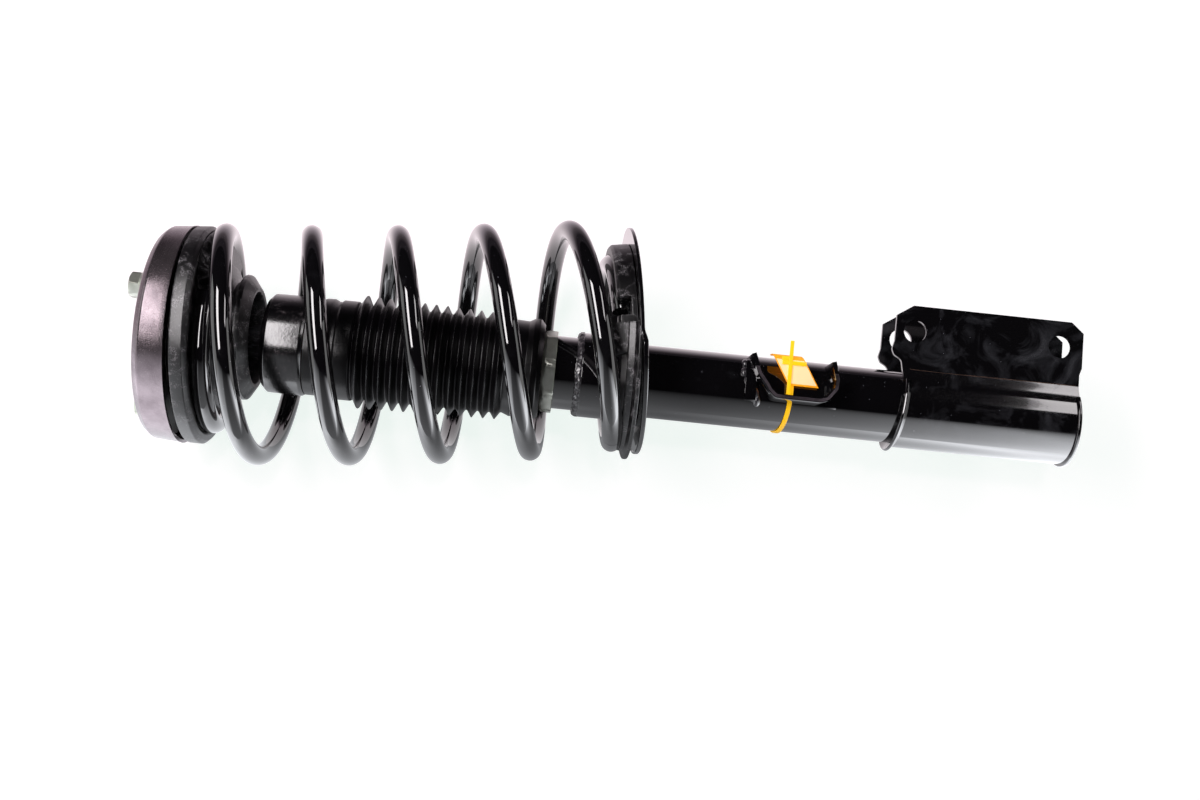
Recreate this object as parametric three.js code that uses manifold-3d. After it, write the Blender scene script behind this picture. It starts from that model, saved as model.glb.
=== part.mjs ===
// Suspension strut assembly: telescopic damper with a bowed coil spring, top mount with steering bearing,
// dust boot, hose bracket and knuckle clevis. Millimetres. +Z runs up the strut's axis, the origin is the
// centre of the top mount's seating face, and the knuckle ears point along +X.

import * as THREE from 'three';
import { mergeVertices } from 'three/addons/utils/BufferGeometryUtils.js';
import Module from 'manifold-3d';

const wasm = await Module();
wasm.setup();

// ---------------------------------------------------------------- driving dimensions

const GAP = 0.3;                    // left between pieces that touch on the real strut
const ROUND = 32;                   // sides of a visible turned piece
const HIDDEN = 20;                  // sides of a piece that is mostly inside

const TUBE = { radius: 25.5, wall: 2.3, top: -266.3, bottom: -634 };
const ROD = { radius: 11, neck: 7, shoulder: -22.4, top: 12, pistonSeat: -317.5, bottom: -343 };
const RUN = 0.3;                    // radial clearance round the sliding rod

const MOUNT = { plateau: 62, shoulder: 73.4, mouth: 75, mouthZ: -21.6, plate: 3, wall: 2.5, hole: 22 };
const MOUTH_SLANT = THREE.MathUtils.degToRad(1.5);
const SLANT = THREE.MathUtils.degToRad(2.8);      // lean of the upper spring seat
const STUD = { circle: 51, first: -64, radius: 5, tip: 14.5, count: 3, nutBase: 0.3, nutFlats: 16 };
const BEARING = { inner: 30, outer: 43.5, track: 36.5, ball: 2.6, middle: -17.2, balls: 10 };

const SPRING = {
  wire: 7.1, body: 76.2, topEnd: 52, bottomEnd: 50.7,     // wire radius and coil radii
  start: -0.83, finish: 5.22,                             // turns, counted from the first full coil
  pitch: 60.24, first: -40.1,                             // rise of a turn, height of turn 0
  topFlat: 2, bottomFlat: 5,                              // rise of a turn in the closed ends
  opening: 0.31, closing: 0.95, closeFrom: 4,             // turns in which the pitch opens and closes
  growing: 0.6, shrinking: 0.72, shrinkFrom: 4.35,        // turns in which the ends change radius
  tilt: 0.04,                                             // rise of the coils towards +Y
  perTurn: 26, sides: 7,                                  // facets along and round the wire
};
// Bow of the spring's middle line and lean of its coils, in hundreds of mm below the spring's middle.
const BOW = { middle: -180, offset: 9.43, slope: 12.5, curve: 1.67, lean: 6.12, leanSlope: 2.32 };
const LOWER_SEAT = {
  x: 27.1, z: -322.6, lean: THREE.MathUtils.degToRad(7), tilt: 0.025, radius: 79.5, sheet: 2.5, step: 2.3,
};
const COLLAR = { radius: 29.5, top: -291, bottom: -350 };

const CUP = { radius: 34.7, top: -73.8, bottom: -102.5, wall: 2.5 };
const BOOT = { top: -102.8, bottom: -264, bore: 30.6, ribs: 13, firstRib: -139.5, lastRib: -234.3 };
const BRACKET = { sheet: 2.5, ear: 20, top: -513.5, bottom: -638.4, reach: 70, bolt: 8, boltX: 51.8 };
const BOLTS_Z = [-520.4, -623.5];
const RIM = { z: -513.2, lean: 0.11 };            // flared upper end of the knuckle bracket
const HOSE = { near: -46, far: -22, sheet: 3, padRadius: 28.6 };
const TIE = { z: -428.1, slope: 0.287 };          // height at the tube's middle and rise towards +Y

const FINISH = {
  can: { color: 0x6a6264, roughness: 0.42, metalness: 0.85 },
  zinc: { color: 0xb4b9b2, roughness: 0.35, metalness: 0.9 },
  steel: { color: 0x8d8f92, roughness: 0.4, metalness: 0.9 },
  chrome: { color: 0xd8dadd, roughness: 0.08, metalness: 1.0 },
  blackPaint: { color: 0x0c0c0e, roughness: 0.16, metalness: 0.1 },
  rubber: { color: 0x1c1b1d, roughness: 0.75, metalness: 0.0 },
  boot: { color: 0x141315, roughness: 0.45, metalness: 0.0 },
  foam: { color: 0xd9cfae, roughness: 0.9, metalness: 0.0 },
  cage: { color: 0xc9c4b4, roughness: 0.5, metalness: 0.0 },
  tag: { color: 0xff9a12, roughness: 0.4, metalness: 0.0 },
};

// ---------------------------------------------------------------- shared helpers

const strut = new THREE.Group();

function piece(name, geometry, finish) {
  const mesh = new THREE.Mesh(geometry, new THREE.MeshStandardMaterial(finish));
  mesh.name = name;
  strut.add(mesh);
  return mesh;
}

// Signed volume tells whether the faces point outwards.
function signedVolume(geometry) {
  const position = geometry.attributes.position;
  const index = geometry.index.array;
  const [a, b, c] = [new THREE.Vector3(), new THREE.Vector3(), new THREE.Vector3()];
  let volume = 0;
  for (let i = 0; i < index.length; i += 3) {
    a.fromBufferAttribute(position, index[i]);
    b.fromBufferAttribute(position, index[i + 1]);
    c.fromBufferAttribute(position, index[i + 2]);
    volume += a.dot(b.cross(c)) / 6;
  }
  return volume;
}

// Shared corners merged, collapsed faces dropped, faces pointing out.
function cleaned(geometry) {
  const bare = geometry.clone();
  bare.deleteAttribute('normal');
  bare.deleteAttribute('uv');
  const merged = mergeVertices(bare, 1e-4);
  const old = merged.index.array;
  const kept = [];
  for (let i = 0; i < old.length; i += 3) {
    const [a, b, c] = [old[i], old[i + 1], old[i + 2]];
    if (a !== b && b !== c && c !== a) kept.push(a, b, c);
  }
  merged.setIndex(kept);
  if (signedVolume(merged) < 0) {
    const index = merged.index.array;
    for (let i = 0; i < index.length; i += 3) {
      [index[i], index[i + 1]] = [index[i + 1], index[i]];
    }
  }
  return merged;
}

function solid(geometry) {
  const tidy = cleaned(geometry);
  return new wasm.Manifold(new wasm.Mesh({
    numProp: 3,
    vertProperties: new Float32Array(tidy.attributes.position.array),
    triVerts: new Uint32Array(tidy.index.array),
  }));
}

function geometryOf(manifold) {
  const { vertProperties, triVerts } = manifold.getMesh();
  const geometry = new THREE.BufferGeometry();
  geometry.setAttribute('position', new THREE.BufferAttribute(new Float32Array(vertProperties), 3));
  geometry.setIndex(new THREE.BufferAttribute(new Uint32Array(triVerts), 1));
  return geometry;
}

function joined(...geometries) {
  return geometryOf(geometries.map(solid).reduce((whole, next) => whole.add(next)));
}

function cut(geometry, ...tools) {
  return geometryOf(tools.map(solid).reduce((rest, tool) => rest.subtract(tool), solid(geometry)));
}

function common(first, second) {
  return geometryOf(solid(first).intersect(solid(second)));
}

// Profile of [radius, height] pairs turned about the strut's axis.
function turned(profile, sides = HIDDEN) {
  const lathe = new THREE.LatheGeometry(profile.map(([r, z]) => new THREE.Vector2(r, z)), sides);
  return cleaned(lathe.rotateX(Math.PI / 2));
}

function closedProfile(profile) {
  return [...profile, profile[0]];
}

// Plain ring between two radii and two heights.
function ring(inner, outer, low, high, sides = HIDDEN) {
  return turned(closedProfile([[inner, low], [outer, low], [outer, high], [inner, high]]), sides);
}

function disc(radius, low, high, sides = HIDDEN) {
  return turned([[0, low], [radius, low], [radius, high], [0, high]], sides);
}

function box(x0, x1, y0, y1, z0, z1) {
  const block = new THREE.BoxGeometry(x1 - x0, y1 - y0, z1 - z0);
  return block.translate((x0 + x1) / 2, (y0 + y1) / 2, (z0 + z1) / 2);
}

// Rounded run of a profile from one point to another, bulging away from the inner corner.
function quarter(fromR, fromZ, toR, toZ, steps) {
  return Array.from({ length: steps + 1 }, (_, i) => {
    const angle = (i / steps) * Math.PI / 2;
    return [fromR + (toR - fromR) * Math.sin(angle), toZ + (fromZ - toZ) * Math.cos(angle)];
  });
}

function extruded(shape, depth, curveSegments) {
  return new THREE.ExtrudeGeometry(shape, { depth, bevelEnabled: false, curveSegments });
}

// Prism of a shape drawn in the X-Z plane, running along Y from near to far.
function sidePrism(shape, near, far) {
  const prism = extruded(shape, far - near, 6);
  return prism.rotateX(Math.PI / 2).translate(0, far, 0);
}

function bar(radius, x, z, y0, y1, sides = 24) {
  const rod = new THREE.CylinderGeometry(radius, radius, y1 - y0, sides);
  return rod.translate(x, (y0 + y1) / 2, z);
}

function leaning(geometry, lean, x, z) {
  return geometry.rotateY(-lean).translate(x, 0, z);
}

// Heights raised in proportion to one of the other two coordinates.
function sheared(geometry, byX, byY) {
  const slide = new THREE.Matrix4().set(1, 0, 0, 0, 0, 1, 0, 0, byX, byY, 1, 0, 0, 0, 0, 1);
  return geometry.applyMatrix4(slide);
}

// ---------------------------------------------------------------- coil spring

// Smooth start of a slope: the integral of a smooth step that begins at 0 and is done at 1.
function easedRun(x) {
  if (x <= 0) return 0;
  if (x >= 1) return x - 0.5;
  return x ** 3 - x ** 4 / 2;
}

const smooth = (x) => THREE.MathUtils.smoothstep(x, 0, 1);

// The wire's middle line: closed ends of small radius, an even pitch between, and a centre line that bows
// and leans more towards the lower seat, as on a spring that takes the strut's side load.
function wireHeight(turns) {
  const { pitch, first, topFlat, bottomFlat, opening, closing, closeFrom } = SPRING;
  const opened = opening * easedRun(turns / opening + 0.5);
  const closed = closing * easedRun((turns - closeFrom) / closing);
  return first - topFlat * turns - (pitch - topFlat) * opened + (pitch - bottomFlat) * closed;
}

function coilRadius(turns) {
  const { body, topEnd, bottomEnd, growing, shrinking, shrinkFrom } = SPRING;
  const grown = topEnd + (body - topEnd) * smooth(turns / growing + 1);
  return grown - (body - bottomEnd) * smooth((turns - shrinkFrom) / shrinking);
}

function wirePoint(turns) {
  const angle = 2 * Math.PI * turns;
  const z = wireHeight(turns);
  const down = (BOW.middle - z) / 100;
  const centre = BOW.offset + BOW.slope * down + BOW.curve * down * down;
  const lean = THREE.MathUtils.degToRad(BOW.lean + BOW.leanSlope * down);
  const across = coilRadius(turns) * Math.cos(angle);
  const out = -coilRadius(turns) * Math.sin(angle);
  const height = z + across * Math.sin(lean) + out * SPRING.tilt;
  return new THREE.Vector3(centre + across * Math.cos(lean), out, height);
}

// One unbroken tube along the wire's middle line, joined ring to ring with a fan at each end.
function wireTube(stations, radius) {
  const sides = SPRING.sides;
  const points = [];
  const index = [];
  const up = new THREE.Vector3(0, 0, 1);
  for (const turns of stations) {
    const middle = wirePoint(turns);
    const tangent = wirePoint(turns + 0.001).sub(wirePoint(turns - 0.001)).normalize();
    const side = new THREE.Vector3().crossVectors(tangent, up).normalize();
    const out = new THREE.Vector3().crossVectors(side, tangent).normalize();
    for (let j = 0; j < sides; j += 1) {
      const angle = (2 * Math.PI * j) / sides;
      const corner = middle.clone().addScaledVector(side, radius * Math.cos(angle));
      corner.addScaledVector(out, radius * Math.sin(angle));
      points.push(corner.x, corner.y, corner.z);
    }
  }
  const last = (stations.length - 1) * sides;
  for (let i = 0; i < last; i += sides) {
    for (let j = 0; j < sides; j += 1) {
      const [a, b] = [i + j, i + ((j + 1) % sides)];
      index.push(a, b, a + sides, b, b + sides, a + sides);
    }
  }
  for (let j = 1; j < sides - 1; j += 1) {
    index.push(0, j + 1, j, last, last + j, last + j + 1);
  }
  const geometry = new THREE.BufferGeometry();
  geometry.setAttribute('position', new THREE.Float32BufferAttribute(points, 3));
  geometry.setIndex(index);
  return cleaned(geometry);
}

function wireStations() {
  const count = Math.round((SPRING.finish - SPRING.start) * SPRING.perTurn);
  return Array.from({ length: count + 1 }, (_, i) => SPRING.start + i / SPRING.perTurn);
}

// Least distance between parts of the wire that are more than a third of a turn apart, less its thickness.
function leastGap() {
  const points = wireStations().map(wirePoint);
  let least = Infinity;
  for (let i = 0; i < points.length; i += 1) {
    for (let j = i + Math.ceil(SPRING.perTurn / 3); j < points.length; j += 1) {
      least = Math.min(least, points[i].distanceTo(points[j]));
    }
  }
  return least - 2 * SPRING.wire;
}

function coilSpring() {
  console.log(`coil spring: least gap to itself ${leastGap().toFixed(1)} mm`);
  piece('coil_spring', wireTube(wireStations(), SPRING.wire), FINISH.blackPaint);
}

// The stretch of wire that beds in a rubber seat, thickened and lengthened by the clearance.
function wireBed(start, finish) {
  const stretch = wireStations().filter((turns) => turns > start && turns < finish);
  const ends = [SPRING.start - 0.002, ...stretch, SPRING.finish + 0.002];
  const bed = ends.filter((turns) => turns > start && turns < finish);
  return wireTube(bed, SPRING.wire + GAP);
}

// ---------------------------------------------------------------- top mount

function studPlaces() {
  return Array.from({ length: STUD.count }, (_, i) => {
    const angle = THREE.MathUtils.degToRad(STUD.first + (360 / STUD.count) * i);
    return [STUD.circle * Math.cos(angle), STUD.circle * Math.sin(angle)];
  });
}

function mountHousing() {
  const { plateau, shoulder, mouth, mouthZ, plate, wall, hole } = MOUNT;
  const low = mouthZ - 6;
  const shell = turned(closedProfile([
    [hole, 0], ...quarter(plateau, 0, shoulder, -7, 3), [mouth, low], [mouth - wall, low],
    [shoulder - wall, -7.5], [plateau, -plate], [hole + wall, -plate], [hole + wall, -8], [hole, -8],
  ]), 34);
  const mouthCut = leaning(box(-90, 90, -90, 90, -30, 0), MOUTH_SLANT, 0, mouthZ);
  const holes = studPlaces().map(([x, y]) => disc(STUD.radius + GAP, -9, 5, 16).translate(x, y, 0));
  piece('mount_housing', cut(shell, mouthCut, ...holes), FINISH.can);
}

function mountStuds() {
  const { radius, tip, nutBase, nutFlats } = STUD;
  const flange = 10.2;
  studPlaces().forEach(([x, y], i) => {
    const stud = turned([
      [0, -6.2], [8, -6.2], [8, -MOUNT.plate - GAP], [radius, -MOUNT.plate - GAP],
      [radius, tip - 1.2], [radius - 1.2, tip], [0, tip],
    ], 16);
    piece(`mount_stud_${i + 1}`, stud.translate(x, y, 0), FINISH.zinc);
    const hexagon = new THREE.CylinderGeometry(nutFlats / Math.sqrt(3), nutFlats / Math.sqrt(3), 8.5, 6);
    const body = hexagon.rotateX(Math.PI / 2).translate(0, 0, 5.75);
    const skirt = turned([[0, 0], [flange, 0], [flange, 1.2], [nutFlats / 2, 3], [0, 3]], 20);
    const nut = cut(joined(body, skirt), disc(radius + GAP, -1, 12, 16));
    piece(`stud_nut_${i + 1}`, nut.translate(x, y, nutBase), FINISH.zinc);
  });
}

function mountInside() {
  const rubber = turned(closedProfile([
    [44.4, -10], [50, -9], [60, -9.6], [70.2, -9], [70.6, -14.5], [64, -13.2], [52, -13.6], [44.4, -15.5],
  ]));
  piece('mount_rubber', rubber, FINISH.rubber);
  const core = turned(closedProfile([
    [ROD.neck + GAP, -9], [44, -9], [44, -12], [19, -12], [17, -14], [17, -22], [ROD.neck + GAP, -22],
  ]));
  piece('mount_core', core, FINISH.steel);
  piece('rebound_washer', ring(ROD.neck + GAP, 17, -8.7, -5.7), FINISH.zinc);
  const hexagon = new THREE.CylinderGeometry(12.7, 12.7, 11, 6).rotateX(Math.PI / 2).translate(0, 0, 0.1);
  piece('rod_nut', cut(hexagon, disc(ROD.neck + GAP, -8, 8, 20)), FINISH.zinc);
}

function steeringBearing() {
  const { inner, outer, track, ball, middle, balls } = BEARING;
  const groove = ball + 2 * GAP;
  const rows = [1, 2, 3, 4, 5].map((i) => {
    const angle = (Math.PI * i) / 6;
    return [track - groove * Math.cos(angle), groove * Math.sin(angle)];
  });
  const race = (side) => turned(closedProfile([
    [inner, middle + side * 1.7], ...rows.map(([r, h]) => [r, middle + side * h]),
    [outer, middle + side * 1.7], [outer, middle + side * 4.8], [inner, middle + side * 4.8],
  ]));
  piece('bearing_upper_race', race(1), FINISH.steel);
  piece('bearing_lower_race', race(-1), FINISH.steel);
  const spheres = Array.from({ length: balls }, (_, i) => {
    const angle = (2 * Math.PI * i) / balls;
    const sphere = new THREE.SphereGeometry(ball, 6, 4);
    return sphere.translate(track * Math.cos(angle), track * Math.sin(angle), middle);
  });
  const cage = ring(track - 4, track + 4, middle - 0.7, middle + 0.7, 24);
  piece('bearing_ball_cage', joined(cage, ...spheres), FINISH.cage);
}

function upperSpringSeat() {
  const dish = turned(closedProfile([
    [24, -7], [50, -7], [55, -2.9], [70, -2.9], [71.2, -4], [71.2, -8.4], [69, -8.4], [69, -5.2],
    [56, -5.2], [51, -9.4], [24, -9.4],
  ]), 26);
  const boss = leaning(ring(29, 45, -8.2, 6), SLANT, 0, -20);
  const bossTop = box(-60, 60, -60, 60, BEARING.middle - 4.8 - GAP, 0);
  piece('upper_spring_seat', joined(leaning(dish, SLANT, 0, -20), cut(boss, bossTop)), FINISH.blackPaint);
}

// Rubber between the spring and its upper seat: a lip round the seat's rim, a bed for the wire's end, a
// ramp that the end butts against, and a neck that ends in an open flared mouth.
function upperInsulator() {
  const body = turned(closedProfile([
    [29.5, -9.7], [51, -9.7], [56, -5.5], [68.7, -5.5], [68.7, -8.8], [71.6, -8.8], [71.6, -4.6],
    [75, -4.6], [75, -13.4], [72.5, -15.8], [69, -15.8], [66, -14], [49.5, -14], [48.6, -23], [46, -28],
    [40, -30.5], [37.5, -33], [43.3, -38.5], [43, -41], [34.5, -46.8], [32, -46.2], [31, -38],
  ]), 26);
  const ramp = turned(closedProfile([[45, -13], [73.5, -13], [72.5, -17], [61, -26], [45, -26]]), 26);
  const from = THREE.MathUtils.degToRad(-57);
  const away = box(-100, 100, -100, 0, -40, 0).rotateZ(from);
  const past = box(-100, 100, 0, 100, -40, 0).rotateZ(0.45);
  const bed = wireBed(SPRING.start - 0.01, 0.5);
  const rubber = joined(body, cut(ramp, away, past));
  piece('upper_insulator', cut(leaning(rubber, SLANT, 0, -20), bed), FINISH.rubber);
}

// ---------------------------------------------------------------- rod, piston, bumper and boot

function rodAndPiston() {
  const { radius, neck, shoulder, top, pistonSeat, bottom } = ROD;
  piece('piston_rod', turned([
    [0, bottom], [neck - 0.8, bottom], [neck, bottom + 0.8], [neck, pistonSeat], [radius, pistonSeat],
    [radius, shoulder], [neck, shoulder], [neck, top - 1], [neck - 1, top], [0, top],
  ], 24), FINISH.chrome);
  piece('rebound_stop', ring(radius + GAP, 14.2, -291.5, -285.5), FINISH.steel);
  piece('piston', turned(closedProfile([
    [neck + GAP, -332], [14.5, -332], [14.5, -328], [13.6, -328], [13.6, -322], [14.5, -322],
    [14.5, pistonSeat - GAP], [neck + GAP, pistonSeat - GAP],
  ])), FINISH.steel);
  const hexagon = new THREE.CylinderGeometry(11, 11, 7, 6).rotateX(Math.PI / 2).translate(0, 0, -335.9);
  piece('piston_nut', cut(hexagon, disc(neck + GAP, -345, -330, 20)), FINISH.zinc);
}

// Foam bump stop: three waisted lobes that taper towards the damper.
function bumper() {
  const lobes = [
    [24, -96], [20.5, -104], [25, -112], [25, -118], [19.5, -126], [23, -134], [22, -141], [17.5, -148],
  ];
  piece('jounce_bumper', turned(closedProfile([
    [ROD.radius + GAP, -76.7], [24, -76.7], ...lobes, [18, -156], [14.5, -161], [ROD.radius + GAP, -161],
  ])), FINISH.foam);
  const { radius, top, bottom, wall } = CUP;
  piece('bumper_cup', turned(closedProfile([
    [ROD.radius + GAP, top], ...quarter(radius - 2.5, top, radius, top - 2.5, 2), [radius, bottom + 1],
    [radius - 1, bottom], [radius - wall, bottom], [radius - wall, top - wall],
    [ROD.radius + GAP, top - wall],
  ]), 28), FINISH.boot);
}

// Moulded boot: beaded collar, even ribs and a beaded lower cuff, all round one plain bore.
function dustBoot() {
  const { top, bottom, bore, ribs, firstRib, lastRib } = BOOT;
  const spacing = (firstRib - lastRib) / (ribs - 1);
  const folds = [];
  for (let i = 0; i < ribs; i += 1) {
    const z = firstRib - spacing * i;
    const crest = 39.2 - (2.4 * i) / (ribs - 1);
    folds.push([crest, z], [33, z - spacing / 2]);
  }
  const collar = [
    [33.4, top], [33.4, -110], [34.7, -113], [34.7, -117.5], [33, -122.2], [34.6, -124.5], [34.6, -134],
  ];
  const cuff = [[33.7, -246], [33.3, -250], [35.8, -257], [35.8, -261], [32, bottom]];
  const boreRings = [[bore, bottom], [bore, -200], [bore, -150], [bore, top]];
  const profile = closedProfile([...collar, [33, firstRib + spacing / 2], ...folds, ...cuff, ...boreRings]);
  piece('dust_boot', turned(profile, 24), FINISH.boot);
}

// ---------------------------------------------------------------- damper body

function damperTubes() {
  const { radius, wall, top, bottom } = TUBE;
  const inside = radius - wall;
  piece('strut_tube', ring(inside, radius, bottom, top, ROUND), FINISH.blackPaint);
  piece('base_cap', turned([
    [0, bottom - 4.3], [14, bottom - 4.1], [radius - 1.5, bottom - 3], [radius, bottom - 1.5],
    [radius, bottom - GAP], [0, bottom - GAP],
  ], ROUND), FINISH.blackPaint);
  piece('pressure_tube', ring(14.8, 16.4, -612, -284.4), FINISH.steel);
  piece('base_valve', turned([
    [0, -633], [18, -633], [18, -624], [16, -618], [16, -612.3], [0, -612.3],
  ]), FINISH.steel);
  piece('rod_seal', ring(ROD.radius + RUN, inside - GAP, -269.9, -266.8), FINISH.rubber);
  piece('rod_guide', turned(closedProfile([
    [ROD.radius + RUN, -284.1], [19, -284.1], [inside - GAP, -279], [inside - GAP, -270.2],
    [ROD.radius + RUN, -270.2],
  ])), FINISH.steel);
}

// Eight-sided cap nut that closes the tube over the rod seal.
function glandNut() {
  const corner = 29.4;
  const prism = new THREE.CylinderGeometry(corner, corner, 6.8, 8).rotateX(Math.PI / 2);
  const body = joined(
    prism.rotateZ(Math.PI / 8 + 0.03).translate(0, 0, -269.6),
    turned([[0, -267], [28, -267], [26.5, -262.5], [22, -262.2], [0, -262.2]], 28),
  );
  const tubeBore = disc(TUBE.radius + GAP, -275, TUBE.top + GAP, ROUND);
  const rodBore = disc(ROD.radius + RUN, -280, -255, 24);
  piece('gland_nut', cut(body, tubeBore, rodBore), FINISH.zinc);
}

// ---------------------------------------------------------------- lower spring seat

function lowerSpringSeat() {
  const { x, z, lean, tilt, radius, sheet, step } = LOWER_SEAT;
  const half = 100;
  const high = cut(disc(radius, -sheet, 0, 40), box(-half, -1.5, -half, half, -10, 10));
  const low = cut(disc(radius, -sheet - step, -step, 40), box(1.5, half, -half, half, -20, 10));
  const riser = common(disc(radius, -sheet - step, 0, 40), box(-1.6, 1.6, -half, half, -20, 10));
  const rim = cut(ring(radius - 1.9, radius, -sheet - step, -0.6, 40), box(-1, half, -half, half, -20, 10));
  const plate = leaning(sheared(joined(high, low, riser, rim), 0, tilt), lean, x, z);
  const { top, bottom } = COLLAR;
  const weld = [[COLLAR.radius, top + 1], [30.2, top + 1.6], [29.6, top + 3.4], [27, top + 4.4]];
  const sleeve = turned([[0, bottom], [COLLAR.radius, bottom], ...weld, [0, top + 4.4]], ROUND);
  const under = leaning(sheared(box(-half, half, -half, half, -60, -sheet - step), 0, tilt), lean, x, z);
  const collar = cut(sleeve, under);
  const bore = disc(TUBE.radius + GAP, -360, -270, ROUND);
  piece('lower_spring_seat', cut(joined(plate, collar), bore), FINISH.blackPaint);
}

// Rubber under the spring's lower end: a wall round the wire's end with a notch at its tip, a hump where
// the wall ends, and a flanged pad that ramps up under the coil on the other side.
function lowerInsulator() {
  const { x, z, lean, tilt, step } = LOWER_SEAT;
  const half = 100;
  const wall = cut(turned(closedProfile([
    [41, GAP], [68, GAP], [68, 3], [67.6, 11.5], [65.8, 13.4], [60.5, 13.4], [59.5, 11], [41, 11],
  ]), 28), box(-half, 1.8, -half, half, -10, 40));
  const hump = common(
    turned(closedProfile([[55, GAP], [67.9, GAP], [67.9, 16], [66, 19], [57, 19], [55, 16]]), 28),
    leaning(box(-11, 40, -80, -20, -20, 40), 0.25, -4, 0),
  );
  const foot = -step + 2 * GAP;
  const pad = turned(closedProfile([
    [38, foot], [76.4, foot], [76.4, foot + 2.4], [71, foot + 4], [69.5, foot + 9], [38, foot + 9.5],
  ]), 28).rotateY(0.07).translate(-4, 0, 0);
  const core = ring(38, 60, -step + GAP, 6, 28);
  const low = cut(
    joined(pad, core), box(2, half, -half, half, -20, 40), box(-1.9, half, -half, half, -20, GAP),
  );
  const notch = box(40, 80, -6.6, 6.6, 4.1, 40).rotateZ(THREE.MathUtils.degToRad(-78.6));
  const rubber = cut(joined(wall, cut(hump, box(5, half, -half, half, -20, 40)), low), notch);
  const seated = leaning(sheared(rubber, 0, tilt), lean, x, z);
  const bed = wireBed(4, SPRING.finish + 0.01);
  const collarRoom = disc(COLLAR.radius + 1, -350, -280, ROUND);
  piece('lower_insulator', cut(seated, bed, collarRoom), FINISH.rubber);
}

// ---------------------------------------------------------------- hose bracket, tie and tag

// Outline of a bent strip: its middle line offset both ways.
function stripOutline(points, thickness) {
  const middle = points.map(([x, y]) => new THREE.Vector2(x, y));
  const sides = [1, -1].map((sign) => middle.map((point, i) => {
    const into = point.clone().sub(middle[Math.max(i - 1, 0)]).normalize();
    const away = middle[Math.min(i + 1, middle.length - 1)].clone().sub(point).normalize();
    const along = into.clone().add(away).normalize();
    const squeeze = Math.max(along.dot(into), along.dot(away));
    const reach = (sign * thickness) / 2 / squeeze;
    return new THREE.Vector2(point.x - along.y * reach, point.y + along.x * reach);
  }));
  return new THREE.Shape([...sides[0], ...sides[1].reverse()]);
}

function curvedPad(from, to, low, high) {
  const shape = new THREE.Shape();
  shape.absarc(0, 0, HOSE.padRadius, from, to, false);
  shape.absarc(0, 0, TUBE.radius + GAP, to, from, true);
  return extruded(shape, high - low, 8).translate(0, 0, low);
}

function hoseBracket() {
  const { near, far, sheet, padRadius } = HOSE;
  const route = [
    [20.4, -405], [7.5, -410], [0, -416], [-3.4, -418.2], [-6.7, -422], [-7, -427],
    [-7, -452], [-5.6, -457], [1.4, -462.4], [8, -463.2], [20, -459.6],
  ];
  const strap = sidePrism(stripOutline(route, sheet), near, far);
  const clear = disc(padRadius - 0.2, -480, -390, ROUND);
  const [from, to] = [-118, -42].map(THREE.MathUtils.degToRad);
  const feet = [curvedPad(from, to, -415, -397), curvedPad(from, to, -470, -457.5)];
  piece('hose_bracket', joined(cut(strap, clear), ...feet), FINISH.blackPaint);
}

// Flat band drawn slanting round the tube behind the strap, its lock and the cut-off tail.
function cableTie() {
  const band = ring(TUBE.radius + GAP, TUBE.radius + 1.5, -1.6, 1.6, ROUND);
  const lock = box(12, 19.5, -27.2, -17, -3.2, 3.2);
  const foot = box(-3, 1.5, -30.1, -25.8, -1.5, 1.5);
  const tail = box(-3, 34, -30.1, -28.9, -1.5, 1.5);
  const bore = disc(TUBE.radius + GAP, -20, 20, ROUND);
  const tie = sheared(cut(joined(band, lock, foot, tail), bore), 0, TIE.slope);
  piece('cable_tie', tie.translate(0, 0, TIE.z), FINISH.tag);
}

// Folded plastic tag that hangs slanting behind the tie's tail, both leaves plain.
function hangTag() {
  const fold = [[24.8, -19], [24.3, -25.6], [22.6, -28], [3.6, -28]];
  const width = 21;
  const leaves = extruded(stripOutline(fold, 0.9), width, 1).translate(0, 0, -width);
  piece('hang_tag', sheared(leaves, 0.6, 0).translate(0, 0, -435), FINISH.tag);
}

// ---------------------------------------------------------------- knuckle bracket

// Section of the clevis: sheet wrapped round the tube and led out into two parallel ears.
function bracketSection() {
  const { sheet, ear, reach } = BRACKET;
  const wrap = TUBE.radius + GAP;
  const leave = THREE.MathUtils.degToRad(60);
  const straight = 26;
  const edge = (radius, plane) => {
    const start = new THREE.Vector2(radius * Math.cos(leave), radius * Math.sin(leave));
    const bend = new THREE.Vector2(start.x + (start.y - plane) * Math.tan(leave), plane);
    return { start, bend };
  };
  const outer = edge(wrap + sheet, ear);
  const inner = edge(wrap, ear - sheet);
  const shape = new THREE.Shape();
  const tip = reach + 4;
  shape.moveTo(tip, ear);
  shape.lineTo(straight, ear);
  shape.quadraticCurveTo(outer.bend.x, outer.bend.y, outer.start.x, outer.start.y);
  shape.absarc(0, 0, wrap + sheet, leave, -leave, false);
  shape.quadraticCurveTo(outer.bend.x, -outer.bend.y, straight, -ear);
  shape.lineTo(tip, -ear);
  shape.lineTo(tip, -ear + sheet);
  shape.lineTo(straight, -ear + sheet);
  shape.quadraticCurveTo(inner.bend.x, -inner.bend.y, inner.start.x, -inner.start.y);
  shape.absarc(0, 0, wrap, -leave, leave, true);
  shape.quadraticCurveTo(inner.bend.x, inner.bend.y, straight, ear - sheet);
  shape.lineTo(tip, ear - sheet);
  shape.closePath();
  return shape;
}

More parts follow.
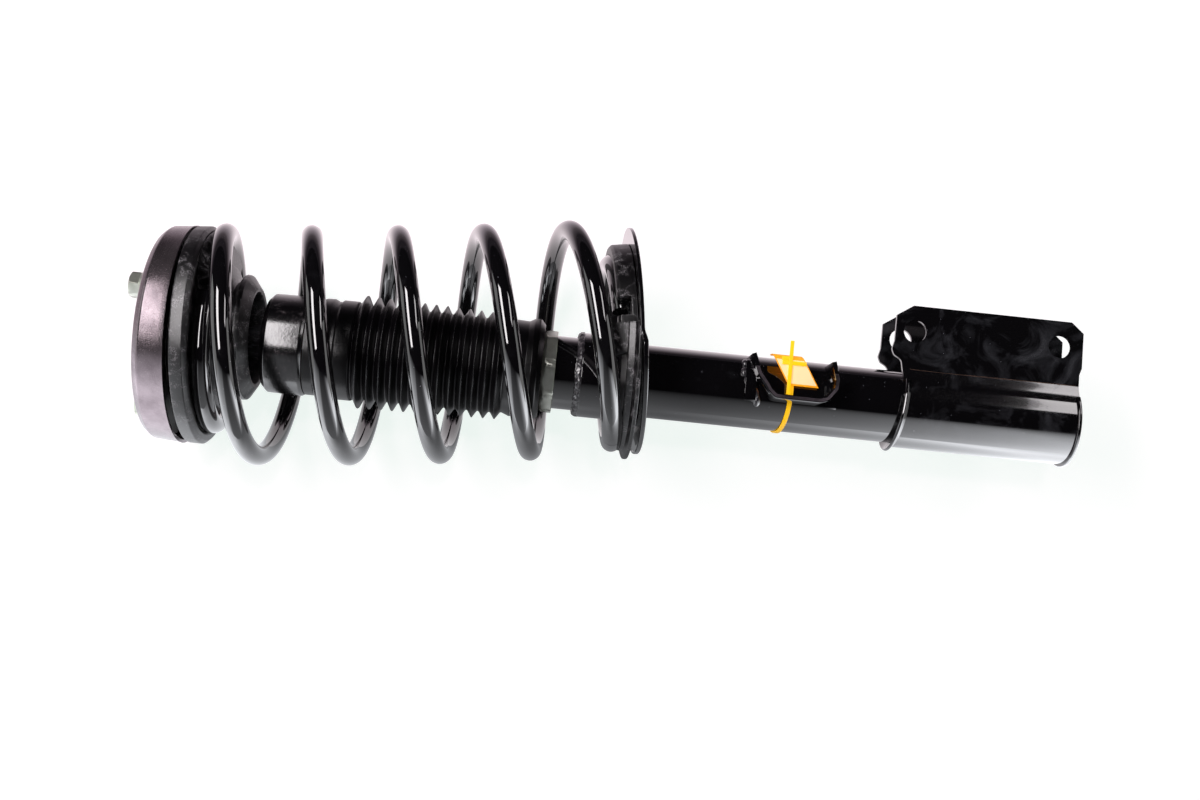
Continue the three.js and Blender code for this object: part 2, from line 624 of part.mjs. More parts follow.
function knuckleBracket() {
  const { top, bottom, sheet, reach, bolt, boltX, ear } = BRACKET;
  const section = extruded(bracketSection(), 140, 9);
  const outline = new THREE.Shape();
  outline.moveTo(-40, bottom);
  outline.lineTo(-40, RIM.z - 2.6 + 40 * RIM.lean);
  outline.lineTo(0, RIM.z - 2.6);
  outline.lineTo(22, top);
  outline.bezierCurveTo(30, top, 32, -508, 36, -506.4);
  outline.bezierCurveTo(39, -504.8, 44, -504, 50, -504);
  outline.lineTo(57.5, -504);
  outline.lineTo(63.5, -506.5);
  outline.lineTo(reach, -516);
  outline.lineTo(reach, -631.3);
  outline.lineTo(62.7, -640);
  outline.lineTo(38, -640);
  outline.lineTo(33, bottom);
  outline.closePath();
  const blank = common(section.translate(0, 0, -645), sidePrism(outline, -40, 40));
  const wrap = TUBE.radius + GAP;
  const past = box(17, 60, -60, 60, -10, 10);
  const flare = cut(turned(closedProfile([
    [wrap + 0.2, -6], [wrap + sheet, -6], [wrap + sheet + 3.4, -1], [wrap + sheet + 2.2, 0.6],
    [wrap + 0.2, -2.6],
  ]), ROUND).rotateY(RIM.lean).translate(0, 0, RIM.z), past.clone().translate(0, 0, RIM.z));
  const lip = cut(ring(wrap, wrap + sheet + 2, 0, 2.6, ROUND), past).translate(0, 0, bottom);
  const bolts = BOLTS_Z.map((z) => bar(bolt, boltX, z, -ear - 5, ear + 5));
  const formed = joined(blank, flare, lip);
  piece('knuckle_bracket', cut(formed, ...bolts), FINISH.blackPaint);
}

// ---------------------------------------------------------------- assembly

mountHousing();
mountStuds();
mountInside();
steeringBearing();
upperSpringSeat();
upperInsulator();
coilSpring();
rodAndPiston();
bumper();
dustBoot();
damperTubes();
glandNut();
lowerSpringSeat();
lowerInsulator();
hoseBracket();
cableTie();
hangTag();
knuckleBracket();

export default strut;
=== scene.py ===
from math import asin, atan2, cos, degrees, exp, pi, radians, sin, tan

import bmesh
import bpy
from bpy.props import FloatProperty, FloatVectorProperty, IntProperty, PointerProperty
from mathutils import Matrix, Vector, noise


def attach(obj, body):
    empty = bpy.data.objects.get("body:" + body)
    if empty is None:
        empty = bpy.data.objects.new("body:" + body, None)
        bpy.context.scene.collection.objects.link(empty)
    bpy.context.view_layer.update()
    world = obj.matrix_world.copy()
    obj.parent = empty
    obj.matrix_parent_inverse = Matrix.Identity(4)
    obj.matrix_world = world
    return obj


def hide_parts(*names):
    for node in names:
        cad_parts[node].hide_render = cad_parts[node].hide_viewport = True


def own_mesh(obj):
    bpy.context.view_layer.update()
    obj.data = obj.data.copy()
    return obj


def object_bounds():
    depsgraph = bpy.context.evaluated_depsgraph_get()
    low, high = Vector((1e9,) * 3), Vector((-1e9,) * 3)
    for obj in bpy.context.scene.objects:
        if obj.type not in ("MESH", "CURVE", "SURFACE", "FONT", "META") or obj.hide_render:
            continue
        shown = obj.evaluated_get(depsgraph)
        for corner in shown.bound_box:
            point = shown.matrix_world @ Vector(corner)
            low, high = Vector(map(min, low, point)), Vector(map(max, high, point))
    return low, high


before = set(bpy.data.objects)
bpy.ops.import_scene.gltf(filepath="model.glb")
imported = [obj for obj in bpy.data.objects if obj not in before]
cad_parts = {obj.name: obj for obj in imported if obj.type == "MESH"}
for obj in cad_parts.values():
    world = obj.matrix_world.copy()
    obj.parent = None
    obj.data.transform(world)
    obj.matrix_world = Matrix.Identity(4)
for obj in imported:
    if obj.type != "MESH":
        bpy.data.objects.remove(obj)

bl_info = {
    "name": "Suspension strut",
    "version": (1, 0, 0),
    "blender": (4, 5, 0),
    "location": "3D View > Sidebar > Strut",
    "description": "Dresses a packed suspension strut: mesh pieces, finishes, stage and camera",
    "category": "Object",
}

# Lengths are in mm. The strut's axis is Z, with the top mount's face at height 0.
MM = 0.001
CAD_BOX = [list(corner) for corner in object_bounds()]
MOUTH_SLANT = radians(1.5)    # lean of the top mount's mouth
STUD_CIRCLE, STUD_ANGLE = 51, -64  # radius of the circle of studs, and degrees from +X to the first
TOP_LEAN, TOP_Z = radians(2.8), -20   # lean and height of the upper seat
SEAT_LEAN = radians(7)        # lean of the lower seat
SEAT_X, SEAT_Z = 27.1, -322.6      # middle of the lower seat
SEAT_TILT = 0.025                  # rise of the lower seat towards +Y
SEAT_STEP = 2.3                    # depth of its joggle
COIL_TILT = 0.04                   # rise of the coils towards +Y
WIRE_ENDS = (-0.83, 5.22)          # turns, counted from the first full coil
LAST_COIL, BEDDED = 4, 4.45        # turns where the last coil starts to close, and where it lies in its bed
BED_ROOM = 0.25                    # room round the wire in its beds
BOOT_BORE, BOOT_END = 30.6, -263.9 # radius inside the dust boot, and its lower end
STRAP_SIDES = (-46, -22)           # the hose strap's edges in Y
TAG_SLOPE, TAG_Z = 0.6, -435       # rise of the tag per mm of X, and its height on the axis


# --- sizes and colours a user would change

def length(name, description, default, low=1.0):
    return FloatProperty(name=name, description=description + ", in mm", default=default, min=low)


def colour(name, description, default):
    return FloatVectorProperty(name=name, description=description, subtype="COLOR", size=3, default=default)


class StrutSizes(bpy.types.PropertyGroup):
    wire: length("Wire radius", "Radius of the spring's wire", 7.1, 4.0)
    coil: length("Coil radius", "Radius of the spring's full coils", 76.2, 50.0)
    pitch: length("Pitch", "Rise of one full coil", 60.24, 20.0)
    tube: length("Tube radius", "Outside radius of the damper tube", 25.5, 15.0)
    rod: length("Rod radius", "Radius of the piston rod", 11.0, 5.0)
    ribs: IntProperty(
        name="Boot ribs", description="Folds moulded into the dust boot", default=13, min=4, max=30)
    ear_gap: length("Clevis width", "Distance between the outer faces of the ears", 40.0)
    bolt: length("Bolt hole radius", "Radius of the clevis bolt holes", 8.0)


class StrutColours(bpy.types.PropertyGroup):
    enamel: colour("Enamel", "Colour of the gloss black coat", (0.0033, 0.0030, 0.0037))
    band: colour("Tie", "Colour of the cable tie", (1.0, 0.56, 0.006))
    label: colour("Tag", "Colour of the hanging tag", (1.0, 0.36, 0.006))


# --- mesh helpers

def raw(name, verts, faces):
    """Mesh object from points in mm, with its faces turned outwards."""
    mesh = bpy.data.meshes.new(name)
    mesh.from_pydata([Vector(v) * MM for v in verts], [], faces)
    work = bmesh.new()
    work.from_mesh(mesh)
    bmesh.ops.recalc_face_normals(work, faces=work.faces)
    work.to_mesh(mesh)
    work.free()
    made = bpy.data.objects.new(name, mesh)
    bpy.context.scene.collection.objects.link(made)
    return made


def baked(made):
    """Applies the object's modifiers to its mesh."""
    shape = made.evaluated_get(bpy.context.evaluated_depsgraph_get())
    mesh = bpy.data.meshes.new_from_object(shape)
    made.modifiers.clear()
    made.data = mesh
    return made


def combined(made, tool, operation="DIFFERENCE"):
    """Cuts, joins or keeps the common part of two closed meshes; the tool is used up."""
    step = made.modifiers.new("step", "BOOLEAN")
    step.solver = "EXACT"
    step.operation = operation
    step.object = tool
    bpy.context.view_layer.update()
    baked(made)
    bpy.data.objects.remove(tool)
    return made


def softened(made, width, angle=40, segments=2):
    """Rounds the edges sharper than the angle, as a pressed or moulded edge is."""
    step = made.modifiers.new("edges", "BEVEL")
    step.width = width * MM
    step.segments = segments
    step.limit_method = "ANGLE"
    step.angle_limit = radians(angle)
    step.use_clamp_overlap = True
    return baked(made)


def turned(name, profile, sides=128, warp=None, lobes=None):
    """Profile of (radius, height) pairs turned about the axis; closed on itself or on the axis."""
    closed = profile[0] == profile[-1]
    rows = profile[:-1] if closed else profile
    verts, rings = [], []
    for radius, height in rows:
        if radius == 0:
            rings.append([len(verts)] * sides)
            verts.append((0.0, 0.0, height))
            continue
        rings.append(list(range(len(verts), len(verts) + sides)))
        for j in range(sides):
            angle = 2 * pi * j / sides
            reach = radius + (lobes(angle, radius, height) if lobes else 0.0)
            verts.append((reach * cos(angle), reach * sin(angle), height))
    pairs = list(zip(rings, rings[1:]))
    if closed:
        pairs.append((rings[-1], rings[0]))
    faces = []
    for low, high in pairs:
        for j in range(sides):
            k = (j + 1) % sides
            face = list(dict.fromkeys((low[j], low[k], high[k], high[j])))
            if len(face) > 2:
                faces.append(face)
    if warp:
        verts = [warp(*v) for v in verts]
    return raw(name, verts, faces)


def rounded(points, closed=True):
    """Line through points of (a, b) or (a, b, fillet), rounded where there is a fillet."""
    count = len(points)
    line = []
    for i, point in enumerate(points):
        here = Vector(point[:2])
        fillet = point[2] if len(point) > 2 else 0.0
        inside = closed or 0 < i < count - 1
        if not fillet or not inside:
            line.append(tuple(here))
            continue
        before = Vector(points[i - 1][:2]) - here
        after = Vector(points[(i + 1) % count][:2]) - here
        half = before.angle(after) / 2
        back = min(fillet / tan(half), before.length * 0.49, after.length * 0.49)
        start, end = here + before.normalized() * back, here + after.normalized() * back
        line += [tuple(p) for p in curved(start, here, end, 6)]
    if closed:
        line.append(line[0])
    return line


def curved(start, corner, end, steps):
    """Points of the curve from start to end that a corner pulls towards itself."""
    shares = [n / steps for n in range(steps + 1)]
    return [start * (1 - t) ** 2 + corner * 2 * t * (1 - t) + end * t * t for t in shares]


def arc(radius, angles, x=0.0, y=0.0):
    return [(x + radius * cos(a), y + radius * sin(a)) for a in angles]


def circle(radius, sides, x=0.0, y=0.0):
    return arc(radius, [2 * pi * n / sides for n in range(sides)], x, y)


def ball(name, radius, half, steps, sides):
    """Ball about the axis, or an egg where its half height differs from its radius."""
    def ring(n):
        angle = pi * n / steps
        return (radius * sin(angle) if 0 < n < steps else 0, -half * cos(angle))

    return turned(name, [ring(n) for n in range(steps + 1)], sides)


def cylinder(radius, low, high, sides):
    """Round tool about the strut's axis, for cutting."""
    return turned("room", [(0, low), (radius, low), (radius, high), (0, high)], sides)


def flat_sided(sides, reach, angle):
    """Distance from the middle of a polygon to its side, in one direction."""
    part = pi / sides
    return reach / cos((angle + part) % (2 * part) - part)


def skinned(name, rings, closed=False):
    """Mesh over rings of as many points each; its ends are capped unless the last ring meets the first."""
    sides, faces = len(rings[0]), []
    verts = [point for ring in rings for point in ring]
    for i in range(len(rings) if closed else len(rings) - 1):
        low, high = i * sides, (i + 1) % len(rings) * sides
        for j in range(sides):
            k = (j + 1) % sides
            faces.append((low + j, low + k, high + k, high + j))
    if not closed:
        faces += [tuple(range(sides)), tuple(range(len(verts) - sides, len(verts)))]
    return raw(name, verts, faces)


def swept(name, path, section):
    """Section, a list of points across the path, run along the path."""
    rings = []
    for i, middle in enumerate(path):
        before, after = path[max(i - 1, 0)], path[min(i + 1, len(path) - 1)]
        along = (after - before).normalized()
        side = along.cross(Vector((0, 0, 1)))
        side = side.normalized() if side.length > 1e-6 else Vector((1, 0, 0))
        out = side.cross(along).normalized()
        rings.append([middle + side * a + out * b for a, b in section])
    return skinned(name, rings)


def prism(name, outline, low, high, place):
    """Closed outline of (a, b) pairs run from low to high; place turns (a, b, height) into a point."""
    if outline[0] == outline[-1]:
        outline = outline[:-1]
    count = len(outline)
    verts = [place(a, b, low) for a, b in outline] + [place(a, b, high) for a, b in outline]
    faces = [tuple(range(count)), tuple(range(count, 2 * count))]
    faces += [(j, (j + 1) % count, (j + 1) % count + count, j + count) for j in range(count)]
    return raw(name, verts, faces)


def along_y(a, b, height):
    return (a, height, b)


def along_z(a, b, height):
    return (a, b, height)


def block(name, low, high):
    (x0, y0, z0), (x1, y1, z1) = low, high
    return prism(name, [(x0, y0), (x1, y0), (x1, y1), (x0, y1)], z0, z1, along_z)


def moved(made, x, y, z, turn=Matrix()):
    """Turns, leans or stretches an object about the origin, then shifts it."""
    made.data.transform(Matrix.Translation((x * MM, y * MM, z * MM)) @ turn)
    return made


def spun(made, turn):
    """Turns an object about the strut's axis, in degrees."""
    return moved(made, 0, 0, 0, Matrix.Rotation(radians(turn), 4, "Z"))


def sheared(by_x, by_y):
    """Matrix that raises heights in proportion to the other two coordinates."""
    return Matrix(((1, 0, 0, 0), (0, 1, 0, 0), (by_x, by_y, 1, 0), (0, 0, 0, 1)))


def leaned(made, lean, x, z, tilt=0.0):
    """Tilts an object towards +Y, leans it about the Y axis and sets it on its seat."""
    return moved(made, x, 0, z, Matrix.Rotation(-lean, 4, "Y") @ sheared(0, tilt))


def seated(made):
    """Sets an object on the lower spring seat."""
    return leaned(made, SEAT_LEAN, SEAT_X, SEAT_Z, SEAT_TILT)


def strip(points, thickness):
    """Outline of a bent sheet: its middle line offset both ways."""
    middle = [Vector(p[:2]) for p in points]
    left, right = [], []
    for i, point in enumerate(middle):
        into = (point - middle[i - 1]).normalized() if i else Vector((0, 0))
        away = (middle[i + 1] - point).normalized() if i < len(middle) - 1 else Vector((0, 0))
        along = (into + away).normalized()
        reach = thickness / 2 / max(along.dot(into), along.dot(away))
        across = Vector((-along.y, along.x)) * reach
        left.append(tuple(point + across))
        right.append(tuple(point - across))
    return left + right[::-1]


def smooth(x):
    """Step from 0 to 1 that starts and ends gently."""
    x = min(max(x, 0.0), 1.0)
    return x * x * (3 - 2 * x)


def lump(x, y, z, size, seed=0.0):
    """Even, repeatable unevenness between about -1 and 1, with hollows of the given size."""
    return noise.noise(Vector((x / size + seed, y / size, z / size)))


def dressed(made, body, name, stands_for=(), crease=32):
    """Gives a mesh its shading, finish and body, and hides the CAD nodes that it stands for."""
    material = finish(name)
    made.data.shade_smooth()
    made.data.set_sharp_from_angle(angle=radians(crease))
    made.data.materials.clear()
    made.data.materials.append(material)
    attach(made, body)
    if stands_for:
        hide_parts(*stands_for)
    return made


def coated(name, *nodes):
    """Puts a finish on CAD nodes that keep their shape."""
    material = finish(name)
    for node in nodes:
        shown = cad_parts[node]
        shown.data.materials.clear()
        shown.data.materials.append(material)


# --- finishes

def linear(code):
    """sRGB hex code to a linear colour with alpha."""
    parts = [int(code[i:i + 2], 16) / 255 for i in (1, 3, 5)]
    lit = [p / 12.92 if p <= 0.04045 else ((p + 0.055) / 1.055) ** 2.4 for p in parts]
    return (*lit, 1.0)


def chosen(name):
    """A colour that the user set, with alpha."""
    return (*getattr(bpy.context.scene.strut_colours, name), 1.0)


def per_mm(size):
    """Texture scale for a pattern whose cells are so many mm wide."""
    return 1000.0 / size


class Shading:
    """Node tree of a new material or world, which starts empty."""

    def __init__(self, owner):
        owner.use_nodes = True
        self.owner, self.tree = owner, owner.node_tree
        self.tree.nodes.clear()

    def node(self, kind, settings=None, links=None):
        """Adds a node, sets its properties and sockets, and links its inputs."""
        node = self.tree.nodes.new("ShaderNode" + kind)
        for key, value in (settings or {}).items():
            if isinstance(key, str) and hasattr(node, key):
                setattr(node, key, value)
            else:
                node.inputs[key].default_value = value
        for key, source in (links or {}).items():
            self.tree.links.new(source, node.inputs[key])
        return node

    def value(self, kind, settings=None, links=None):
        """First output of a new node."""
        return self.node(kind, settings, links).outputs[0]

    def ranged(self, value, low, high, start=0.0, end=1.0):
        """Value carried from one range to another, and held at its ends."""
        return self.value("MapRange", {
            "From Min": low, "From Max": high, "To Min": start, "To Max": end}, {"Value": value})

    def maths(self, operation, first, second):
        return self.value("Math", {"operation": operation}, {0: first, 1: second})


class Coat(Shading):
    """Material with one shader, whose textures are placed in metres on the object."""

    def __init__(self, name, slot, settings):
        super().__init__(bpy.data.materials.new(name))
        self.owner["slot"] = slot
        self.shader = self.node("BsdfPrincipled", settings)
        self.node("OutputMaterial", links={"Surface": self.shader.outputs["BSDF"]})
        self.place = self.node("TexCoord").outputs["Object"]

    def noise(self, size, detail=2.0, stretch=None, **more):
        """Cloudy pattern whose cells are so many mm wide."""
        place = self.place
        if stretch:
            place = self.value("Mapping", {"Scale": stretch}, {"Vector": place})
        return self.value("TexNoise", {"Scale": per_mm(size), "Detail": detail, **more}, {"Vector": place})

    def feed(self, name, value):
        """Leads a value into one of the shader's sockets."""
        self.tree.links.new(value, self.shader.inputs[name])

    def tint(self, share, first, second):
        """Colours the shader from the first colour to the second, as the share grows."""
        mixed = self.node("Mix", {"data_type": "RGBA", 6: first, 7: second}, {0: share})
        self.feed("Base Color", mixed.outputs[2])

    def dull(self, value, low, high, least, most):
        """Roughness from least to most, as the value goes from low to high."""
        self.feed("Roughness", self.ranged(value, low, high, least, most))

    def bump(self, height, strength, depth):
        relief = self.value("Bump", {"Strength": strength, "Distance": depth * MM}, {"Height": height})
        self.feed("Normal", relief)


def gloss_enamel(name, handled):
    """Black coat, baked to a mirror gloss: slight orange peel, specks of dust, and smears of handling."""
    coat = Coat(name, "black_paint", {
        "Base Color": chosen("enamel"), "IOR": 1.6, "Coat Weight": 1.0, "Coat IOR": 1.6,
        "Coat Roughness": 0.02 + 0.09 * handled})
    smear = coat.noise(26, 4.0, Roughness=0.62, Distortion=1.6)
    coat.dull(smear, 0.60 - 0.06 * handled, 0.78 - 0.06 * handled, 0.05, 0.09 + 0.14 * handled)
    film = coat.ranged(smear, 0.58 - 0.10 * handled, 0.80, 0.0, 0.08 * handled)
    dust = coat.value("TexVoronoi", {"Scale": per_mm(5.5)}, {"Vector": coat.place})
    speck = coat.ranged(dust, 0.030, 0.045, 0.55, 0.0)
    coat.tint(coat.maths("MAXIMUM", speck, film), chosen("enamel"), linear("#b9bcc8"))
    coat.bump(coat.noise(3.5, 1.0), 0.12, 0.04)
    return coat.owner


def plated_steel(name, slot, code, dark_code, rough, grain=0.6):
    """Pressed steel under a thin dull plating: soft reflections, fine pits and cloudy stains."""
    coat = Coat(name, slot, {"Metallic": 0.9})
    cloud = coat.noise(22, 5.0, Roughness=0.65)
    pits = coat.noise(grain, 2.0, Roughness=0.7)
    coat.tint(coat.ranged(cloud, 0.35, 0.7), linear(code), linear(dark_code))
    coat.dull(pits, 0.35, 0.75, rough, rough + 0.12)
    coat.bump(pits, 0.25, 0.03)
    return coat.owner


def moulded_rubber(name, slot, code, bloom_code, rough, bloom=0.5, grain=0.8, shine=0.8):
    """Moulded rubber: matt and near black, with fine grain and a pale bloom of dust in streaks."""
    coat = Coat(name, slot, {"IOR": 1.52, "Specular IOR Level": shine})
    cloud = coat.noise(9, 8.0, Roughness=0.72, Distortion=0.8)
    fine = coat.noise(grain, 3.0, Roughness=0.6)
    dusty = coat.ranged(cloud, 0.50, 0.70, 0.0, bloom)
    dusty = coat.maths("MULTIPLY", dusty, coat.ranged(fine, 0.45, 0.62))
    coat.tint(dusty, linear(code), linear(bloom_code))
    coat.dull(dusty, 0.0, 1.0, rough, rough + 0.2)
    coat.bump(fine, 0.5, 0.12)
    return coat.owner


def moulded_plastic(name, slot, colour, rough, glow=0.0):
    """Injection-moulded polypropylene: one clean colour with a soft skin, and a faint painted glow from
    emission.
    """
    colour = linear(colour) if colour.startswith("#") else chosen(colour)
    # glow sets a painted emission, so the part shines a little without a lamp
    coat = Coat(name, slot, {
        "Base Color": colour, "IOR": 1.49, "Emission Color": colour, "Emission Strength": glow})
    skin = coat.noise(1.2)
    coat.dull(skin, 0.0, 1.0, rough, rough + 0.12)
    coat.bump(skin, 0.2, 0.04)
    return coat.owner


def ground_chrome(name):
    """Hard chrome, ground and polished: a mirror with the faintest rings from grinding."""
    coat = Coat(name, "chrome", {"Base Color": linear("#d9dbe0"), "Metallic": 1.0, "Roughness": 0.07})
    coat.bump(coat.noise(0.5, stretch=(0.02, 0.02, 1.0)), 0.05, 0.01)
    return coat.owner


def weld_bead(name):
    """Arc weld under the black coat: small frozen ripples that catch the light."""
    coat = Coat(name, "black_paint", {
        "Base Color": linear("#242126"), "Roughness": 0.34, "IOR": 1.6, "Coat Weight": 1.0, "Coat IOR": 1.6,
        "Coat Roughness": 0.14})
    coat.bump(coat.noise(1.6, 3.0), 0.8, 0.6)
    return coat.owner


# Each finish by name: its maker, and what the maker takes after the name.
FINISHES = {
    "enamel": (gloss_enamel, 0.15),
    "handled_enamel": (gloss_enamel, 1.0),
    "can": (plated_steel, "can", "#978c91", "#71676c", 0.18),
    "zinc": (plated_steel, "zinc", "#e2e4dc", "#bcc0b3", 0.30),
    "bare_bend": (plated_steel, "black_paint", "#8a6f62", "#4e3f3a", 0.35),
    # pale mauve metal on the hose strap's cut edge: a painted highlight
    "scuffed_edge": (plated_steel, "black_paint", "#8a8088", "#3c373b", 0.38, 1.5),
    "machined_steel": (plated_steel, "steel", "#9a9ca0", "#7c7e82", 0.3),
    "chrome": (ground_chrome,),
    "rubber": (moulded_rubber, "rubber", "#09080a", "#b5b1b6", 0.34, 0.95),
    "boot_skin": (moulded_rubber, "boot", "#060507", "#4a4649", 0.30, 0.1, 1.6, 0.4),
    "cup_skin": (moulded_rubber, "boot", "#0a090b", "#7a7276", 0.17, 0.35, 2.4, 1.1),
    "foam": (moulded_rubber, "foam", "#d9cfae", "#efe8d2", 0.8, 0.6, 1.2),
    "nylon": (moulded_plastic, "cage", "#c9c4b4", 0.45),
    "tag": (moulded_plastic, "tag", "label", 0.32, 0.45),
    # pale glowing sheet over the tag's front: painted highlight of its lit face
    "tag_face": (moulded_plastic, "tag", "#ffe9b0", 0.34, 0.25),
    "tie": (moulded_plastic, "tag", "band", 0.30, 0.50),
    "weld": (weld_bead,),
}
MADE = {}


def finish(name):
    """The named finish, made the first time that it is asked for."""
    if name not in MADE:
        maker, *values = FINISHES[name]
        MADE[name] = maker(name, *values)
    return MADE[name]


# --- spring

def eased(x):
    """Smooth step added up from its start, so a slope goes from 0 to 1 around x = 0.5."""
    return 0.0 if x <= 0 else (x - 0.5 if x >= 1 else x ** 3 - x ** 4 / 2)


def wire_point(turns):
    """Middle of the wire after so many turns from the first full coil."""
    sizes = bpy.context.scene.strut_sizes
    top_z, top_pitch, top_radius = -40.1, 2.0, 52
    end_pitch, end_radius = 5.0, 50.7
    opening, closing = 0.31, 0.95      # turns over which the pitch opens below the top, and closes at the end
    opened = opening * eased(turns / opening + 0.5)
    closed = closing * eased((turns - LAST_COIL) / closing)
    z = top_z - top_pitch * turns - (sizes.pitch - top_pitch) * opened + (sizes.pitch - end_pitch) * closed
    radius = top_radius + (sizes.coil - top_radius) * smooth(turns / 0.6 + 1)
    radius -= (sizes.coil - end_radius) * smooth((turns - 4.35) / 0.72)
    down = (-180 - z) / 100            # the spring bows and leans more, the further down it goes
    lean = radians(6.12 + 2.32 * down)
    angle = 2 * pi * turns
    across, out = radius * cos(angle), -radius * sin(angle)
    middle = 9.43 + 12.5 * down + 1.67 * down * down
    return Vector((middle + across * cos(lean), out, z + across * sin(lean) + COIL_TILT * out))


def wire(name, start, end, radius, sides=28):
    """Round wire along the spring's middle line, from one turn to another."""
    count = max(8, round((end - start) * 96))
    path = [wire_point(start + (end - start) * i / count) for i in range(count + 1)]
    return swept(name, path, circle(radius, sides))


def bed(start, end):
    """Tool that presses the wire's bed into rubber."""
    return wire("bed", start, end, bpy.context.scene.strut_sizes.wire + BED_ROOM, 24)


class StrutPiece:
    """What the operators that build the strut have in common."""
    bl_options = {"REGISTER", "UNDO"}


class STRUT_OT_spring(StrutPiece, bpy.types.Operator):
    """Bowed coil spring in two pieces: its last turn rides with the lower seat, and the rest with the upper
    seat
    """
    bl_idname = "strut.spring"
    bl_label = "Coil spring"

    def execute(self, context):
        first, last = WIRE_ENDS
        radius = context.scene.strut_sizes.wire
        spring = wire("coil_wire", first, BEDDED, radius)
        dressed(spring, "spring_assembly", "enamel", ["coil_spring"], 50)
        high, low = wire_point(first).z, wire_point(BEDDED).z
        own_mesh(spring)
        dressed(wire("coil_foot", BEDDED, last, radius), "damper_body", "enamel", crease=50)
        return {"FINISHED"}


# --- top mount, bearing and upper seat

def mount_housing():
    """Pressed can whose mouth leans a little."""
    profile = rounded([
        (22, -8), (22, 0, 1.6), (62, 0, 3), (69.6, -1.2, 4), (73.3, -5.6, 3), (74.3, -18.0), (74.95, -21.6),
        (72.6, -21.6), (71.6, -8, 3), (62, -3, 4), (24.5, -3, 1), (24.5, -8)])
    mouth = tan(MOUTH_SLANT)
    straight, over = 9, 10.9           # the top stays level this far down, and the lean grows over the rest

    def slanted(x, y, z):
        share = smooth((-z - straight) / over)
        return (x, y, z + x * mouth * share)

    dressed(turned("top_can", profile, 192, slanted), "top_mount", "can", ["mount_housing"])


def mount_stud(number, x, y):
    """Stud with its thread, and the flange nut on it."""
    pitch, deep, core, sharp = 1.5, 0.45, 4.4, 1.6

    def thread(angle, radius, height):
        if radius < core:
            return 0.0
        turn = (height / pitch - angle / (2 * pi)) % 1.0
        return -deep * abs(2 * turn - 1) * sharp

    steps = [(5.0, -3 + 0.3 * n) for n in range(45)]
    profile = [(0, -3.2), *steps, (core, 10.6), (3.9, 10.9), (0, 10.9)]
    stud = turned(f"threaded_stud_{number}", profile, 40, lobes=thread)
    dressed(moved(stud, x, y, 0), "top_mount", "zinc", [f"mount_stud_{number}"], 60)
    nut = flange_nut(f"flange_nut_{number}", 16, 10.2, 5.3)
    dressed(moved(nut, x, y, 0.3), "top_mount", "zinc", [f"stud_nut_{number}"])


def flange_nut(name, flats, flange, bore):
    """Hexagon nut on a round flange; the sizes are its width across flats, and two radii."""
    def six(angle, radius, height):
        if radius <= bore + 0.6 or height < 3.2:
            return 0.0
        return min(flat_sided(6, flats / 2, angle), radius) - radius

    half = flats / 2
    profile = [
        (bore + 0.5, 0), (flange - 0.3, 0), (flange, 0.4), (flange, 1.0), (flange - 0.4, 1.5),
        (half + 0.9, 3.1), (half + 1.24, 3.3), (half + 1.24, 8.6), (half + 0.75, 9.3), (half - 0.3, 10.0),
        (bore + 0.6, 10.0), (bore, 9.4), (bore, 0.5), (bore + 0.5, 0)]
    return turned(name, profile, 96, lobes=six)


class STRUT_OT_top_mount(StrutPiece, bpy.types.Operator):
    """Pressed can with its slanted mouth, studs, flange nuts and the parts inside it"""
    bl_idname = "strut.top_mount"
    bl_label = "Top mount"

    def execute(self, context):
        mount_housing()
        for i in range(3):
            angle = radians(STUD_ANGLE + 120 * i)
            mount_stud(i + 1, STUD_CIRCLE * cos(angle), STUD_CIRCLE * sin(angle))
        coated("rubber", "mount_rubber")
        coated("machined_steel", "mount_core")
        coated("zinc", "rebound_washer")
        nut = moved(flange_nut("rod_top_nut", 22, 13.2, 7.2), 0, 0, -5.2)
        dressed(nut, "top_mount", "zinc", ["rod_nut"])
        return {"FINISHED"}


class STRUT_OT_bearing(StrutPiece, bpy.types.Operator):
    """Thrust bearing that lets the spring turn with the wheel"""
    bl_idname = "strut.bearing"
    bl_label = "Steering bearing"

    def execute(self, context):
        coated("machined_steel", "bearing_upper_race", "bearing_lower_race")
        track, radius, middle, balls = 36.5, 2.6, -17.2, 10
        wide, thick, fillet = 4, 0.7, 0.3
        corners = ((-wide, -thick), (wide, -thick), (wide, thick), (-wide, thick))
        cage = turned("ball_ring", rounded([(track + a, middle + b, fillet) for a, b in corners]), 96)
        for i in range(balls):
            angle = 2 * pi * i / balls
            sphere = ball("ball", radius, radius, 12, 24)
            moved(sphere, track * cos(angle), track * sin(angle), middle)
            combined(cage, sphere, "UNION")
        dressed(cage, "ball_cage", "nylon", ["bearing_ball_cage"])
        return {"FINISHED"}


def upper_insulator():
    """Rubber over the seat's rim and down its neck, with the bed of the spring's top end."""
    def worn(angle, radius, height):
        if height > -9:
            return 0.0
        return 0.22 * lump(radius * cos(angle), radius * sin(angle), height, 5)

    body = turned("upper_insulator_body", rounded([
        (29.5, -9.7), (51, -9.7), (56, -5.5), (68.7, -5.5), (68.7, -8.8), (71.6, -8.8), (71.6, -4.6),
        (74.6, -4.6, 1.2), (75.0, -13.2, 1.6), (72.5, -15.8, 1), (69, -15.8, 1.2), (66, -14, 1),
        (49.5, -14, 2.4), (50.4, -24, 2), (48.2, -29, 3), (40, -31.2, 2), (37.2, -33.4, 1.5),
        (43.3, -38, 1.2), (43, -41, 1.2), (34.5, -46.8, 1), (32, -46.2, 0.8), (31, -38, 3)]), 160, lobes=worn)
    combined(body, rubber_ramp(), "UNION")
    leaned(body, TOP_LEAN, 0, TOP_Z)
    combined(body, bed(WIRE_ENDS[0] - 0.015, 0.5))
    dressed(body, "spring_assembly", "rubber", ["upper_insulator"], 40)


